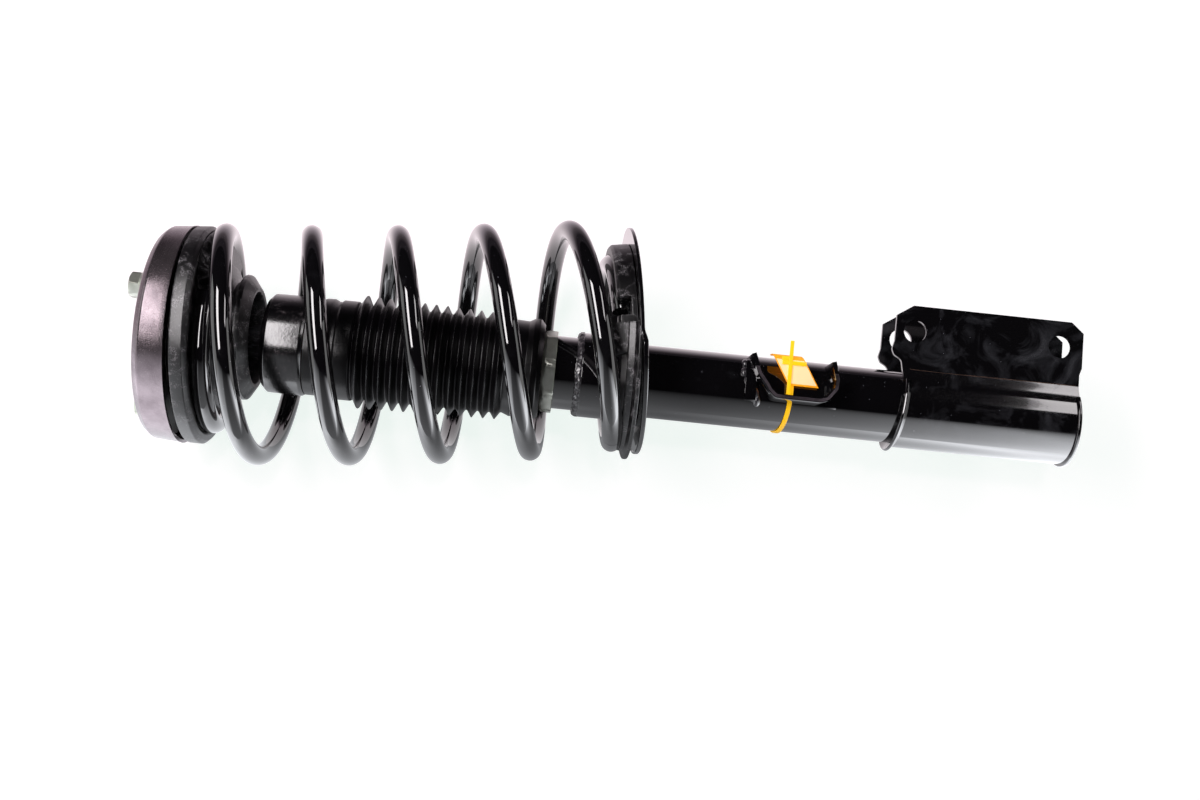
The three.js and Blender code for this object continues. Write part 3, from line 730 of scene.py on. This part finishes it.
def rubber_ramp():
    """Flank of rubber that runs down to the next coil, on past the wire's cut end."""
    def streaked(angle, radius, height):
        if height > -13.5:
            return 0.0
        return 0.9 * lump(angle * 14, height + radius * angle * 0.25, 0, 2.6) * smooth((radius - 50) / 12)

    rows = [(73.5 - 1.5 * n, -14 - 1.5 * n) for n in range(9)]
    flank = turned("ramp", [(45, -13), (73.5, -13), *rows, (45, -26), (45, -13)], 240, lobes=streaked)
    for turn, low, high in ((-57, (-100, -100, -40), (100, 0, 0)), (25.8, (-100, 0, -40), (100, 100, 0))):
        combined(flank, spun(block("half", low, high), turn))
    return flank


class STRUT_OT_upper_seat(StrutPiece, bpy.types.Operator):
    """Upper spring seat, and the rubber that beds the spring's top end"""
    bl_idname = "strut.upper_seat"
    bl_label = "Upper seat and insulator"

    def execute(self, context):
        dish = turned("upper_seat_dish", rounded([
            (29, 1.5), (44, 1.5, 1), (44, -6, 1), (50, -7, 2), (55, -2.9, 2), (70, -2.9, 1), (71.2, -4, 0.8),
            (71.2, -8.4, 0.6), (69, -8.4, 0.6), (69, -5.2, 0.8), (56, -5.2, 1), (51, -9.4, 1),
            (29, -9.4)]), 160)
        dressed(leaned(dish, TOP_LEAN, 0, TOP_Z), "spring_assembly", "enamel", ["upper_spring_seat"])
        upper_insulator()
        return {"FINISHED"}


# --- rod, bumper, boot and damper

class STRUT_OT_rod(StrutPiece, bpy.types.Operator):
    """Chromed piston rod with the piston and stops inside the tube"""
    bl_idname = "strut.rod"
    bl_label = "Rod and piston"

    def execute(self, context):
        rod, neck = context.scene.strut_sizes.rod, 7
        made = turned("chromed_rod", rounded([
            (0, -343), (6.4, -343), (neck, -342), (neck, -317.5), (rod, -317.5), (rod, -23.4),
            (rod - 1, -22.4), (neck, -22.4), (neck, 10.8), (6.2, 11.9), (0, 11.9)], closed=False), 96)
        dressed(made, "top_mount", "chrome", ["piston_rod"])
        coated("machined_steel", "rebound_stop", "piston")
        coated("zinc", "piston_nut")
        return {"FINISHED"}


class STRUT_OT_bumper(StrutPiece, bpy.types.Operator):
    """Foam bump stop and the moulded cup that holds it"""
    bl_idname = "strut.bumper"
    bl_label = "Bumper and cup"

    def execute(self, context):
        bore = context.scene.strut_sizes.rod + 0.3
        foam = turned("foam_bumper", rounded([
            (bore, -76.7), (24, -76.7, 1), (24, -96, 3), (20.5, -104, 3), (25, -112, 3), (25, -118, 3),
            (19.5, -126, 4), (23, -134, 3), (22, -141, 3), (17.5, -148, 4), (18, -156, 3), (14.5, -161, 1),
            (bore, -161)]), 96)
        dressed(foam, "top_mount", "foam", ["jounce_bumper"])
        cup = turned("bumper_cup_shell", rounded([
            (bore, -73.9), (30.9, -73.9, 0.8), (34.2, -77.2, 1.6), (34.6, -100.2, 2.2), (33.4, -102.5, 0.7),
            (32.2, -102.5, 0.4), (32.2, -76.4, 1.5), (bore, -76.4)]), 160)
        dressed(cup, "top_mount", "cup_skin", ["bumper_cup"])
        return {"FINISHED"}


class STRUT_OT_boot(StrutPiece, bpy.types.Operator):
    """Dust boot with sharp moulded folds, its collar and its lower cuff"""
    bl_idname = "strut.boot"
    bl_label = "Dust boot"

    def execute(self, context):
        first, last, ribs = -139.5, -234.3, context.scene.strut_sizes.ribs
        crest, taper, valley = 39.9, 2.4, 31.6
        top = -102.9
        step = (first - last) / (ribs - 1)
        outside = [(33.4, top, 0.3), (33.4, -109.6, 0.4), (34.6, -112.2, 1.4), (34.7, -117.5, 1.4),
                   (33.2, -120.6, 0.6), (33.3, -122.4, 0.5), (34.6, -124.0, 1), (34.6, -134, 1.6),
                   (33, first + step / 2, 1.4)]
        for i in range(ribs):
            z = first - step * i
            outside += [(crest - taper * i / (ribs - 1), z, 0.6), (valley, z - step / 2, 1.5)]
        outside += [(33.9, -244, 1), (33.6, -249, 1), (33.5, -252.6, 1), (35.7, -256.4, 1.4),
                    (35.8, -260.6, 1.4), (32, BOOT_END, 0.6), (BOOT_BORE, BOOT_END)]
        bore = [(BOOT_BORE, BOOT_END + (-BOOT_END + top) * n / 10) for n in range(1, 11)]

        def seam(angle, radius, height):
            if radius < 31:
                return 0.0
            seam_angle, width = 88, 0.8
            off = degrees(angle) % 180 - seam_angle
            return 0.35 * exp(-(off / width) ** 2) + 0.12 * lump(cos(angle) * 30, 0, height, 6)

        boot = turned("dust_boot_skin", rounded(outside + bore), 240, lobes=seam)
        dressed(boot, "top_mount", "boot_skin", ["dust_boot"], 50)
        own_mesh(boot)
        return {"FINISHED"}


def cap_nut():
    """Plated cap nut over the rod seal, its corners turned off to a round crown."""
    corner, turn = 29.3, pi / 8 + 0.03

    def eight(angle, radius, height):
        if radius < 28.5:
            return 0.0
        return min(flat_sided(8, corner * cos(pi / 8), angle - turn), radius) - radius

    nut = turned("tube_cap_nut", [
        (25.8, -273.0), (28.4, -273.0), (28.9, -272.6), (28.9, -266.9), (28.5, -266.2), (27.2, -264.2),
        (26.5, -262.7), (25.9, -262.25), (11.4, -262.25), (11.4, -265.6), (25.8, -265.6), (25.8, -273.0)],
        160, lobes=eight)
    dressed(nut, "damper_body", "zinc", ["gland_nut"])


class STRUT_OT_damper(StrutPiece, bpy.types.Operator):
    """Damper tube, its domed base and the plated cap nut over the rod seal"""
    bl_idname = "strut.damper"
    bl_label = "Damper tube"

    def execute(self, context):
        outer, inner = context.scene.strut_sizes.tube, 23.2
        tube = turned("damper_tube", rounded([
            (inner, -634), (outer, -634), (outer, -266.3, 0.8), (inner, -266.3)]), 192)
        dressed(tube, "damper_body", "enamel", ["strut_tube"])
        cap = turned("domed_base", rounded([
            (0, -638.3), (14, -638.1, 3), (24, -637, 2), (25.45, -635.4, 1), (25.45, -634.1), (0, -634.1)],
            closed=False), 128)
        dressed(cap, "damper_body", "enamel", ["base_cap"])
        cap_nut()
        coated("machined_steel", "pressure_tube", "base_valve", "rod_guide")
        coated("rubber", "rod_seal")
        return {"FINISHED"}


# --- lower seat

def seat_plate():
    """Round plate with a lip at its edge and a joggle across it, and the collar that carries it."""
    radius, thick = 79.4, 2.5
    rows = [24 + 5 * n for n in range(11)]
    top = [(r, 0.0) for r in rows] + [(76.6, 0.0), (77.4, 0.25), (77.8, 0.9), (78.4, 1.15)]
    under = [(79.2, 0.6), (radius, -0.2), (radius, -thick + 0.5), (radius - 0.5, -thick)]
    under += [(r, -thick) for r in reversed(rows)]

    def joggled(x, y, z):
        low = smooth((5 - x + 0.11 * y) / 10)
        lip = z if z <= 0 else z * low * 0.7
        return (x, y, lip - SEAT_STEP * low)

    plate = turned("lower_seat_plate", top + under + top[:1], 360, joggled)
    dressed(seated(plate), "damper_body", "enamel", ["lower_spring_seat"])
    collar = turned("seat_collar", rounded([
        (25.6, -349), (29.5, -349, 1), (29.5, -291, 1), (28.4, -290.2), (25.6, -290.2)]), 160)
    half = 120
    combined(collar, seated(block("under", (-half, -half, -60), (half, half, -thick - SEAT_STEP + 0.4))))
    dressed(collar, "damper_body", "enamel")


def collar_weld():
    """Uneven bead round the top of the collar."""
    def blobs(x, y, z):
        turn = atan2(y, x)
        along = 26.5 * turn
        swell = 0.8 * lump(along, 0, z, 3.4, 7) + 0.45 * lump(along, 4, z, 1.3)
        out = Vector((x, y, 0)).normalized() * swell
        return (x + out.x, y + out.y, z + 0.5 * swell)

    bead = turned("collar_weld", rounded([
        (25.2, -292.2), (29.3, -292.2, 1), (29.5, -289.6, 1.2), (28.2, -287.4, 1.2),
        (25.2, -286.8)]), 360, blobs)
    dressed(bead, "damper_body", "weld", crease=70)


def lower_insulator():
    """Rubber wall on the seat's high half and pad on its low half, with the bed of the last coil."""
    half, high, low = 110, 0.3, 0.3 - SEAT_STEP      # reach of the cutting blocks, and the seat's two levels
    rubber = turned("lower_insulator_body", rounded([
        (41, high), (68, high, 0.6), (68, 3, 0.6), (67.6, 11.5, 1.2), (65.8, 13.4, 1.2), (60.5, 13.4, 1.2),
        (59.5, 11, 1), (41, 11)]), 144)
    combined(rubber, block("low half", (-half, -half, -20), (1.8, half, 50)))
    combined(rubber, wall_end(), "UNION")
    foot = 0.6 - SEAT_STEP
    pad = turned("pad", rounded([
        (38, foot), (76.4, foot, 0.5), (76.4, foot + 2.4, 0.8), (71, foot + 4, 1.5), (69.5, foot + 9, 1.6),
        (38, foot + 9.5)]), 144)
    moved(pad, -6.5, 0, 0, Matrix.Rotation(0.07, 4, "Y"))
    combined(pad, turned("core", [(38, low), (60, low), (60, 6), (38, 6), (38, low)], 144), "UNION")
    combined(pad, block("high half", (2, -half, -20), (half, half, 50)))
    combined(pad, block("riser room", (-1.9, -half, -20), (half, half, high)))
    combined(rubber, pad, "UNION")
    combined(rubber, spun(block("notch", (40, -6.6, 4.1), (80, 6.6, 40)), -78.6))
    seated(rubber)
    combined(rubber, bed(LAST_COIL, WIRE_ENDS[1] + 0.01))
    combined(rubber, cylinder(30.4, -360, -270, 96))
    dressed(softened(rubber, 0.7, 50), "damper_body", "rubber", ["lower_insulator"], 40)


def wall_end():
    """Raised end of the wall on the near side, rounded down towards the pad."""
    high = turned("hump", rounded([
        (55, 0.3), (67.9, 0.3), (67.9, 16, 1), (66, 19, 1), (57, 19, 1), (55, 16)]), 144)
    keep = softened(block("keep", (-15, -80, -20), (5, -20, 40)), 0.1)
    return combined(high, leaned(keep, 0.25, 0, 0), "INTERSECT")


class STRUT_OT_lower_seat(StrutPiece, bpy.types.Operator):
    """Lower spring seat with its joggle and collar, the weld that holds it, and its rubber"""
    bl_idname = "strut.lower_seat"
    bl_label = "Lower seat and insulator"

    def execute(self, context):
        seat_plate()
        collar_weld()
        lower_insulator()
        return {"FINISHED"}


# --- hose bracket, tie and tag

def hose_strap():
    """Strap bent round a hose, its two feet, and a thin pale metal strip on its sheared edge that paints the
    highlight the edge catches.
    """
    route = rounded([
        (20.4, -405), (7.5, -410, 4), (0, -416, 3), (-3.4, -418.2, 2), (-6.7, -422, 4), (-7, -427, 3),
        (-7, -452, 4), (-5.6, -457, 4), (1.4, -462.4, 4), (8, -463.2, 4), (20, -459.6)], closed=False)
    near, far = STRAP_SIDES
    strap = prism("hose_strap", strip(route, 3.0), near, far, along_y)
    combined(strap, cylinder(28.2, -490, -380, 128))
    inner, outer = 25.6, 28.6          # radii of the feet
    angles = [radians(-110 + 60 * n / 24) for n in range(25)]
    for low, high in ((-411, -403.5), (-467, -459)):
        foot = arc(outer, angles) + arc(inner, reversed(angles))
        combined(strap, prism("foot", foot, low, high, along_z), "UNION")
    dressed(softened(strap, 0.6, 45), "damper_body", "enamel", ["hose_bracket"], 40)
    # thin pale strip on the strap's near edge: a painted highlight for the light that edge catches
    edge = prism("sheared_edge", strip(route, 2.0), near - 0.15, near + 0.2, along_y)
    combined(edge, block("room", (12, -50, -490), (60, 0, -380)))
    dressed(edge, "damper_body", "scuffed_edge")


def strap_weld(tube):
    """Lumpy end of the weld beside the strap's left leg."""
    spots = ((17, -403.2, 3.2, 2.4), (10.2, -402.6, 3.6, 2.6), (4.9, -405, 3.4, 2.4), (-1, -408.5, 4.2, 2.8),
             (-5.2, -410.4, 5.2, 3.3), (-9, -412.6, 4.2, 2.6))
    waist, bead = 1.6, None
    for across, height, long, wide in spots:
        turn = asin(across / tube)
        blob = moved(
            ball("strap_weld", waist, 1, 16, 40), across, -(tube + 0.4) * cos(turn), height,
            Matrix.Rotation(turn, 4, "Z") @ Matrix.Diagonal((long / waist, 1.5, wide, 1)))
        bead = combined(bead, blob, "UNION") if bead else blob
    dressed(bead, "damper_body", "weld", crease=80)


def tied(made):
    """Finish of the cable tie's plastic, for one of its parts."""
    return dressed(made, "damper_body", "tie")


def cable_tie(tube):
    """Band round the tube, its tail, the head that locks it and the lock's far side."""
    slope, height, reach = 0.12, -432.2, tube + 0.9
    wide, thick, rings = 1.6, 0.45, []
    for x, y in circle(1, 96):
        out = Vector((x, y, 0))
        point = out * reach + Vector((0, 0, height + slope * reach * out.y))
        corners = ((-wide, -thick), (wide, -thick), (wide, thick), (-wide, thick))
        rings.append([point + out * deep + Vector((0, 0, up)) for up, deep in corners])
    band = softened(skinned("tie_band", rings, closed=True), 0.3, 40)
    dressed(band, "damper_body", "tie", ["cable_tie"])
    tail = [(34.4, -431.9), (34.4, -434.5), (-3.0, -434.3), (-3.0, -431.6)]
    tied(softened(prism("tie_tail", tail, -30.0, -28.9, along_y), 0.2, 40))
    lock = block("tie_lock", (12, -27.2, -437.6), (19.5, -17, -431.2))
    combined(lock, cylinder(25.8, -450, -420, 96))
    tied(softened(lock, 0.5, 40))
    for name, low, high in (
            ("tie_head", (17.6, -29.6, -444.2), (20.4, -28.4, -427.4)),
            ("tie_head_lip", (20.4, -29.6, -433), (23.4, -28.4, -427))):
        tied(softened(block(name, low, high), 0.3, 40))


def hang_tag():
    """Tag folded round the strap's side, and a thin paler, glowing sheet on the face that looks at the
    camera: a painted highlight of that lit face.
    """
    fold = rounded([(24.8, -19), (24.3, -25.6, 1.4), (22.6, -28, 1.4), (3.6, -28)], closed=False)
    tag = softened(moved(
        prism("folded_tag", strip(fold, 0.9), -21, 0, along_z), 0, 0, TAG_Z, sheared(TAG_SLOPE, 0)), 0.25, 40)
    dressed(tag, "damper_body", "tag", ["hang_tag"])
    corners = [(21.2, -0.9), (21.2, -20.1), (4.9, -20.1), (4.9, -0.9)]
    # paler sheet on the tag's front face: a painted highlight
    face = moved(prism("tag_face", corners, -28.56, -28.4, along_y), 0, 0, TAG_Z, sheared(TAG_SLOPE, 0))
    dressed(face, "damper_body", "tag_face")


class STRUT_OT_hose_bracket(StrutPiece, bpy.types.Operator):
    """Bent strap that guards the hose, its welded feet, the cable tie and the folded tag"""
    bl_idname = "strut.hose_bracket"
    bl_label = "Hose bracket, tie and tag"

    def execute(self, context):
        tube = context.scene.strut_sizes.tube
        hose_strap()
        strap_weld(tube)
        cable_tie(tube)
        hang_tag()
        return {"FINISHED"}


# --- knuckle bracket

def clevis_section(sizes, thick):
    """Sheet wrapped round the tube's back, its two ends bent straight into the ears."""
    ear, wrap = sizes.ear_gap / 2, sizes.tube + 0.3
    leave, straight, tip = radians(60), 26, 74      # where the wrap ends, and the ears start and end

    def quarter(radius, plane):
        start = Vector((radius * cos(leave), radius * sin(leave)))
        corner = Vector((start.x + (start.y - plane) * tan(leave), plane))
        curve = curved(Vector((straight, plane)), corner, start, 12)
        angles = [leave + (pi - leave) * n / 60 for n in range(1, 61)]
        return [tuple(p) for p in curve] + arc(radius, angles)

    outer = [(tip, ear)] + quarter(wrap + thick, ear)
    outer += [(x, -y) for x, y in reversed(outer[:-1])]
    inner = [(tip, ear - thick)] + quarter(wrap, ear - thick)
    inner += [(x, -y) for x, y in reversed(inner[:-1])]
    return outer + inner[::-1]


class STRUT_OT_knuckle(StrutPiece, bpy.types.Operator):
    """Clevis of sheet steel wrapped round the tube, with flared ends, two ears and four bolt holes"""
    bl_idname = "strut.knuckle"
    bl_label = "Knuckle bracket"

    def execute(self, context):
        sizes = context.scene.strut_sizes
        thick, top, bottom = 2.5, -513.5, -638.4
        rim, lean = -513.2, 0.11       # height of the flared rim, and its lean
        wrap = sizes.tube + 0.3
        outer = wrap + thick
        blank = prism("knuckle_clevis", clevis_section(sizes, thick), -645, -500, along_z)
        outline = rounded([
            (-40, bottom), (-40, rim - 2.6 + 40 * lean), (0, rim - 2.6), (22, top, 3), (31, top + 1.5, 5),
            (34, -506.6, 3), (38, -504.8, 4), (44, -506.4, 5), (62.3, -506.8), (70, -518.3), (70, -631.3),
            (62.7, -640), (38, -640), (33, bottom)])
        combined(blank, prism("outline", outline, -60, 60, along_y), "INTERSECT")
        flare = turned("flare", rounded([
            (wrap + 0.2, -6), (outer, -4, 1), (outer + 3.4, -1.4, 0.8), (outer + 2.4, 0.6, 0.8),
            (wrap + 0.2, -2.6, 1)]), 192)
        moved(flare, 0, 0, rim, Matrix.Rotation(lean, 4, "Y"))
        combined(flare, block("front", (17, -60, rim - 12), (60, 60, rim + 12)))
        combined(blank, flare, "UNION")
        lip = turned("lip", rounded([
            (wrap, bottom), (outer + 2, bottom, 1.1), (outer + 2, bottom + 2.6, 1.1),
            (wrap, bottom + 2.6)]), 192)
        combined(lip, block("front", (17, -60, bottom - 2), (60, 60, bottom + 5)))
        combined(blank, lip, "UNION")
        for z in (-520.4, -623.5):
            combined(blank, prism("hole", circle(sizes.bolt, 64, 51.8, z), -60, 60, along_y))
        dressed(softened(blank, 0.5, 50), "damper_body", "handled_enamel", ["knuckle_bracket"], 38)
        ear = sizes.ear_gap / 2
        line = [(24.6, -518.5), (24.2, -540), (24.8, -600), (25.0, -635.5), (25.5, -635.5), (25.3, -600),
                (24.7, -540), (25.1, -518.5)]
        dressed(prism("bend_line", line, -ear - 0.15, -ear + 0.6, along_y), "damper_body", "bare_bend")
        return {"FINISHED"}


# --- stage

STAGE_HEIGHTS, BOARD_HEIGHTS = (-3300, 2700), (-1500, 900)     # ends along the strut
CARD_X, CARD_Y = (-1340, 1500), -1600                          # sides of the dark card, and its distance
BOARD_X, BOARD_Y = -520, -900                                  # upright board, and its near edge
SOFT_AIM = (0, 0, -310)                                        # middle of the strut, which the lamps face


def panel(name, place, size, radiance, code, mirrored=True):
    """Soft rectangular lamp as bright as radiance times a white sheet at strength 1."""
    lamp = bpy.data.lights.new(name, "AREA")
    lamp.shape = "RECTANGLE"
    lamp.size, lamp.size_y = (side * MM for side in size)
    lamp.energy = pi * lamp.size * lamp.size_y * radiance
    lamp.color = linear(code)[:3]
    shown = bpy.data.objects.new(name, lamp)
    shown.location = Vector(place) * MM
    aim = (Vector(SOFT_AIM) - Vector(place)).normalized()
    side = aim.cross(Vector((0, 0, 1))).normalized()
    shown.rotation_euler = Matrix((side, side.cross(aim), -aim)).transposed().to_euler()
    shown.visible_camera = False
    shown.visible_glossy = mirrored
    bpy.context.scene.collection.objects.link(shown)


def sheet(name, start, end, heights, material):
    """Flat quad of the stage, on a line from start to end in X and Y, between two heights."""
    low, high = heights
    made = raw(name, [(*start, low), (*end, low), (*end, high), (*start, high)], [(0, 1, 2, 3)])
    made.data.materials.append(material)


class Staging(Shading):
    """Shading of the stage, which looks different to each kind of ray."""

    def ray(self, kind):
        """One where the ray is of this kind, and nought to the others."""
        return self.node("LightPath").outputs[f"Is {kind} Ray"]

    def seen(self):
        """One to the camera, gloss and glass, and nought to soft light."""
        both = self.maths("MAXIMUM", self.ray("Camera"), self.ray("Glossy"))
        return self.maths("MAXIMUM", both, self.ray("Transmission"))

    def parts(self):
        """X, Y and Z on the object, in metres."""
        place = self.node("TexCoord").outputs["Object"]
        return self.node("SeparateXYZ", links={0: place}).outputs

    def mixed(self, share, first, second):
        return self.value("MixShader", links={0: share, 1: first, 2: second})

    def mirrored_only(self, glow):
        """Ends the material so that gloss sees the glow, and all else looks through it."""
        surface = self.mixed(self.ray("Glossy"), self.value("BsdfTransparent"), glow)
        self.node("OutputMaterial", links={"Surface": surface})
        return self.owner


def look_from_photo(scene):
    """Camera where the photograph was taken from."""
    focal, width = 1356, 1200          # focal length and width of the photograph, in its pixels
    sensor = 36
    camera = bpy.data.objects.new("camera", bpy.data.cameras.new("camera"))
    camera.data.sensor_width = sensor
    camera.data.lens = focal / width * sensor
    camera.data.clip_end = 20
    right = Vector((0.096, -0.057, -0.994)).normalized()
    ahead = Vector((0.123, 0.991, -0.045))
    ahead = (ahead - right * ahead.dot(right)).normalized()
    camera.matrix_world = (
        Matrix.Translation(Vector((-133, -940, -264)) * MM)
        @ Matrix((right, right.cross(ahead), -ahead)).transposed().to_4x4())
    scene.collection.objects.link(camera)
    scene.camera = camera
    scene.view_settings.view_transform = "Standard"


def white_world(scene):
    """Surroundings that are white where they are seen, and give little soft light."""
    world = Staging(bpy.data.worlds.new("white surroundings"))
    level = world.ranged(world.seen(), 0.0, 1.0, 0.15, 1.0)
    sky = world.value("Background", {"Color": linear("#ffffff")}, {"Strength": level})
    world.node("OutputWorld", links={"Surface": sky})
    scene.world = world.owner


def white_table():
    """Glossy table that the strut lies on: white to the camera, and clear from behind."""
    top = Staging(bpy.data.materials.new("white table"))
    lit = top.value("BsdfDiffuse", {"Color": (0.40, 0.26, 0.33, 1.0)})
    white = top.value("Emission", {"Color": (0.80, 0.88, 0.84, 1.0)})
    shown = top.value("AddShader", links={0: lit, 1: white})
    plain = top.value("BsdfDiffuse", {"Color": linear("#e4e4e2")})
    gloss = top.value("Emission", links={0: table_falloff(top)})
    front = top.mixed(top.ray("Glossy"), top.mixed(top.seen(), plain, shown), gloss)
    back = top.node("NewGeometry").outputs["Backfacing"]
    surface = top.mixed(back, front, top.value("BsdfTransparent"))
    top.node("OutputMaterial", links={"Surface": surface})
    y = CAD_BOX[1][1] / MM + 0.3
    sheet("table", (-3000, y), (3000, y), STAGE_HEIGHTS, top.owner)


def table_falloff(top):
    """The table as gloss mirrors it: white under the strut, and dimmer towards its far edge."""
    edge = 0.8                         # metres from the axis to either end of the ramp
    share = top.ranged(top.parts()["X"], -edge, edge)
    ramp = top.node("ValToRGB", links={0: share})
    stops = ramp.color_ramp.elements
    stops[0].position, stops[0].color = 0.0, (0.55, 0.58, 0.60, 1.0)
    stops[1].position, stops[1].color = 1.0, (0.06, 0.05, 0.06, 1.0)
    for metres, shade in (
            (-0.1, (0.62, 0.65, 0.66, 1.0)), (0.0, (0.95, 0.90, 0.93, 1.0)), (0.12, (1.0, 0.88, 0.93, 1.0)),
            (0.2, (0.60, 0.51, 0.57, 1.0)), (0.3, (0.22, 0.18, 0.20, 1.0)), (0.5, (0.05, 0.04, 0.05, 1.0))):
        stops.new((metres + edge) / (2 * edge)).color = shade
    return ramp.outputs[0]


def reflectors():
    """White boards under the strut that only gloss mirrors, brighter towards either end of it."""
    y = CAD_BOX[1][1] / MM
    upright = glowing_board("upright board", (-407, -858, 2.3), (30, 160, 1.5))
    sheet("upright board", (BOARD_X, BOARD_Y), (BOARD_X, y), BOARD_HEIGHTS, upright)
    flat = glowing_board("flat board", (-361, -665, 2.2), (-320, 20, 1.6))
    sheet("flat board", (BOARD_X, y - 1), (-30, y - 1), BOARD_HEIGHTS, flat)


def glowing_board(name, right, left):
    """Board that fades towards the camera, and glows by powers of e more between two heights."""
    board = Staging(bpy.data.materials.new(name))
    parts = board.parts()
    near = board.ranged(parts["Y"], -0.9, 0.0)
    under = board.ranged(parts["X"], -0.03, -0.25, 0.35, 1.0)
    powers = [board.ranged(parts["Z"], low * MM, high * MM, 0.0, power) for low, high, power in (right, left)]
    level = board.value("Math", {"operation": "EXPONENT"}, {0: board.maths("ADD", *powers)})
    for share in (near, under):
        level = board.maths("MULTIPLY", level, share)
    level = board.value("Math", {"operation": "MULTIPLY", 1: 0.6}, {0: level})
    glow = board.value("Emission", {"Color": linear("#f4f6fb")}, {"Strength": level})
    return board.mirrored_only(glow)


def dark_cards():
    """Dark cards behind the camera and at the far side, that only gloss mirrors."""
    card = Staging(bpy.data.materials.new("dark card"))
    card.mirrored_only(card.value("Emission", {"Color": linear("#0a0a0c"), "Strength": 1.0}))
    left, right = CARD_X
    sheet("dark card", (left, CARD_Y), (right, CARD_Y), STAGE_HEIGHTS, card.owner)
    sheet("dark side card", (right, CARD_Y), (right, CAD_BOX[1][1] / MM), STAGE_HEIGHTS, card.owner)


class STRUT_OT_stage(bpy.types.Operator):
    """Pale table, soft lamps, a dark card for the gloss to mirror, and the camera"""
    bl_idname = "strut.stage"
    bl_label = "Stage and camera"

    def execute(self, context):
        look_from_photo(context.scene)
        white_world(context.scene)
        white_table()
        dark_cards()
        reflectors()
        panel("left_softbox", (225, -955, 280), (1060, 340), 9, "#fffafc")
        panel("right_softbox", (660, -700, -1060), (640, 200), 4.5, "#fffafc")
        panel("key", (200, -1900, -310), (110, 110), 110, "#fff6f8", mirrored=False)
        return {"FINISHED"}


# --- add-on

STEPS = (
    STRUT_OT_top_mount, STRUT_OT_bearing, STRUT_OT_upper_seat, STRUT_OT_spring, STRUT_OT_rod,
    STRUT_OT_bumper, STRUT_OT_boot, STRUT_OT_damper, STRUT_OT_lower_seat, STRUT_OT_hose_bracket,
    STRUT_OT_knuckle, STRUT_OT_stage,
)


class STRUT_PT_sidebar(bpy.types.Panel):
    """Lists the strut's sizes and colours, and the steps that build it"""
    bl_idname = "STRUT_PT_sidebar"
    bl_label = "Suspension strut"
    bl_space_type = "VIEW_3D"
    bl_region_type = "UI"
    bl_category = "Strut"

    def draw(self, context):
        for group in (context.scene.strut_sizes, context.scene.strut_colours):
            for name in group.__annotations__:
                self.layout.prop(group, name)
        for step in STEPS:
            self.layout.operator(step.bl_idname)


CLASSES = (StrutSizes, StrutColours, *STEPS, STRUT_PT_sidebar)


def register():
    for entry in CLASSES:
        bpy.utils.register_class(entry)
    bpy.types.Scene.strut_sizes = PointerProperty(type=StrutSizes)
    bpy.types.Scene.strut_colours = PointerProperty(type=StrutColours)


def unregister():
    del bpy.types.Scene.strut_colours
    del bpy.types.Scene.strut_sizes
    for entry in reversed(CLASSES):
        bpy.utils.unregister_class(entry)


def build_strut():
    register()
    for step in STEPS:
        family, name = step.bl_idname.split(".")
        getattr(getattr(bpy.ops, family), name)()


if __name__ == "__main__":
    build_strut()
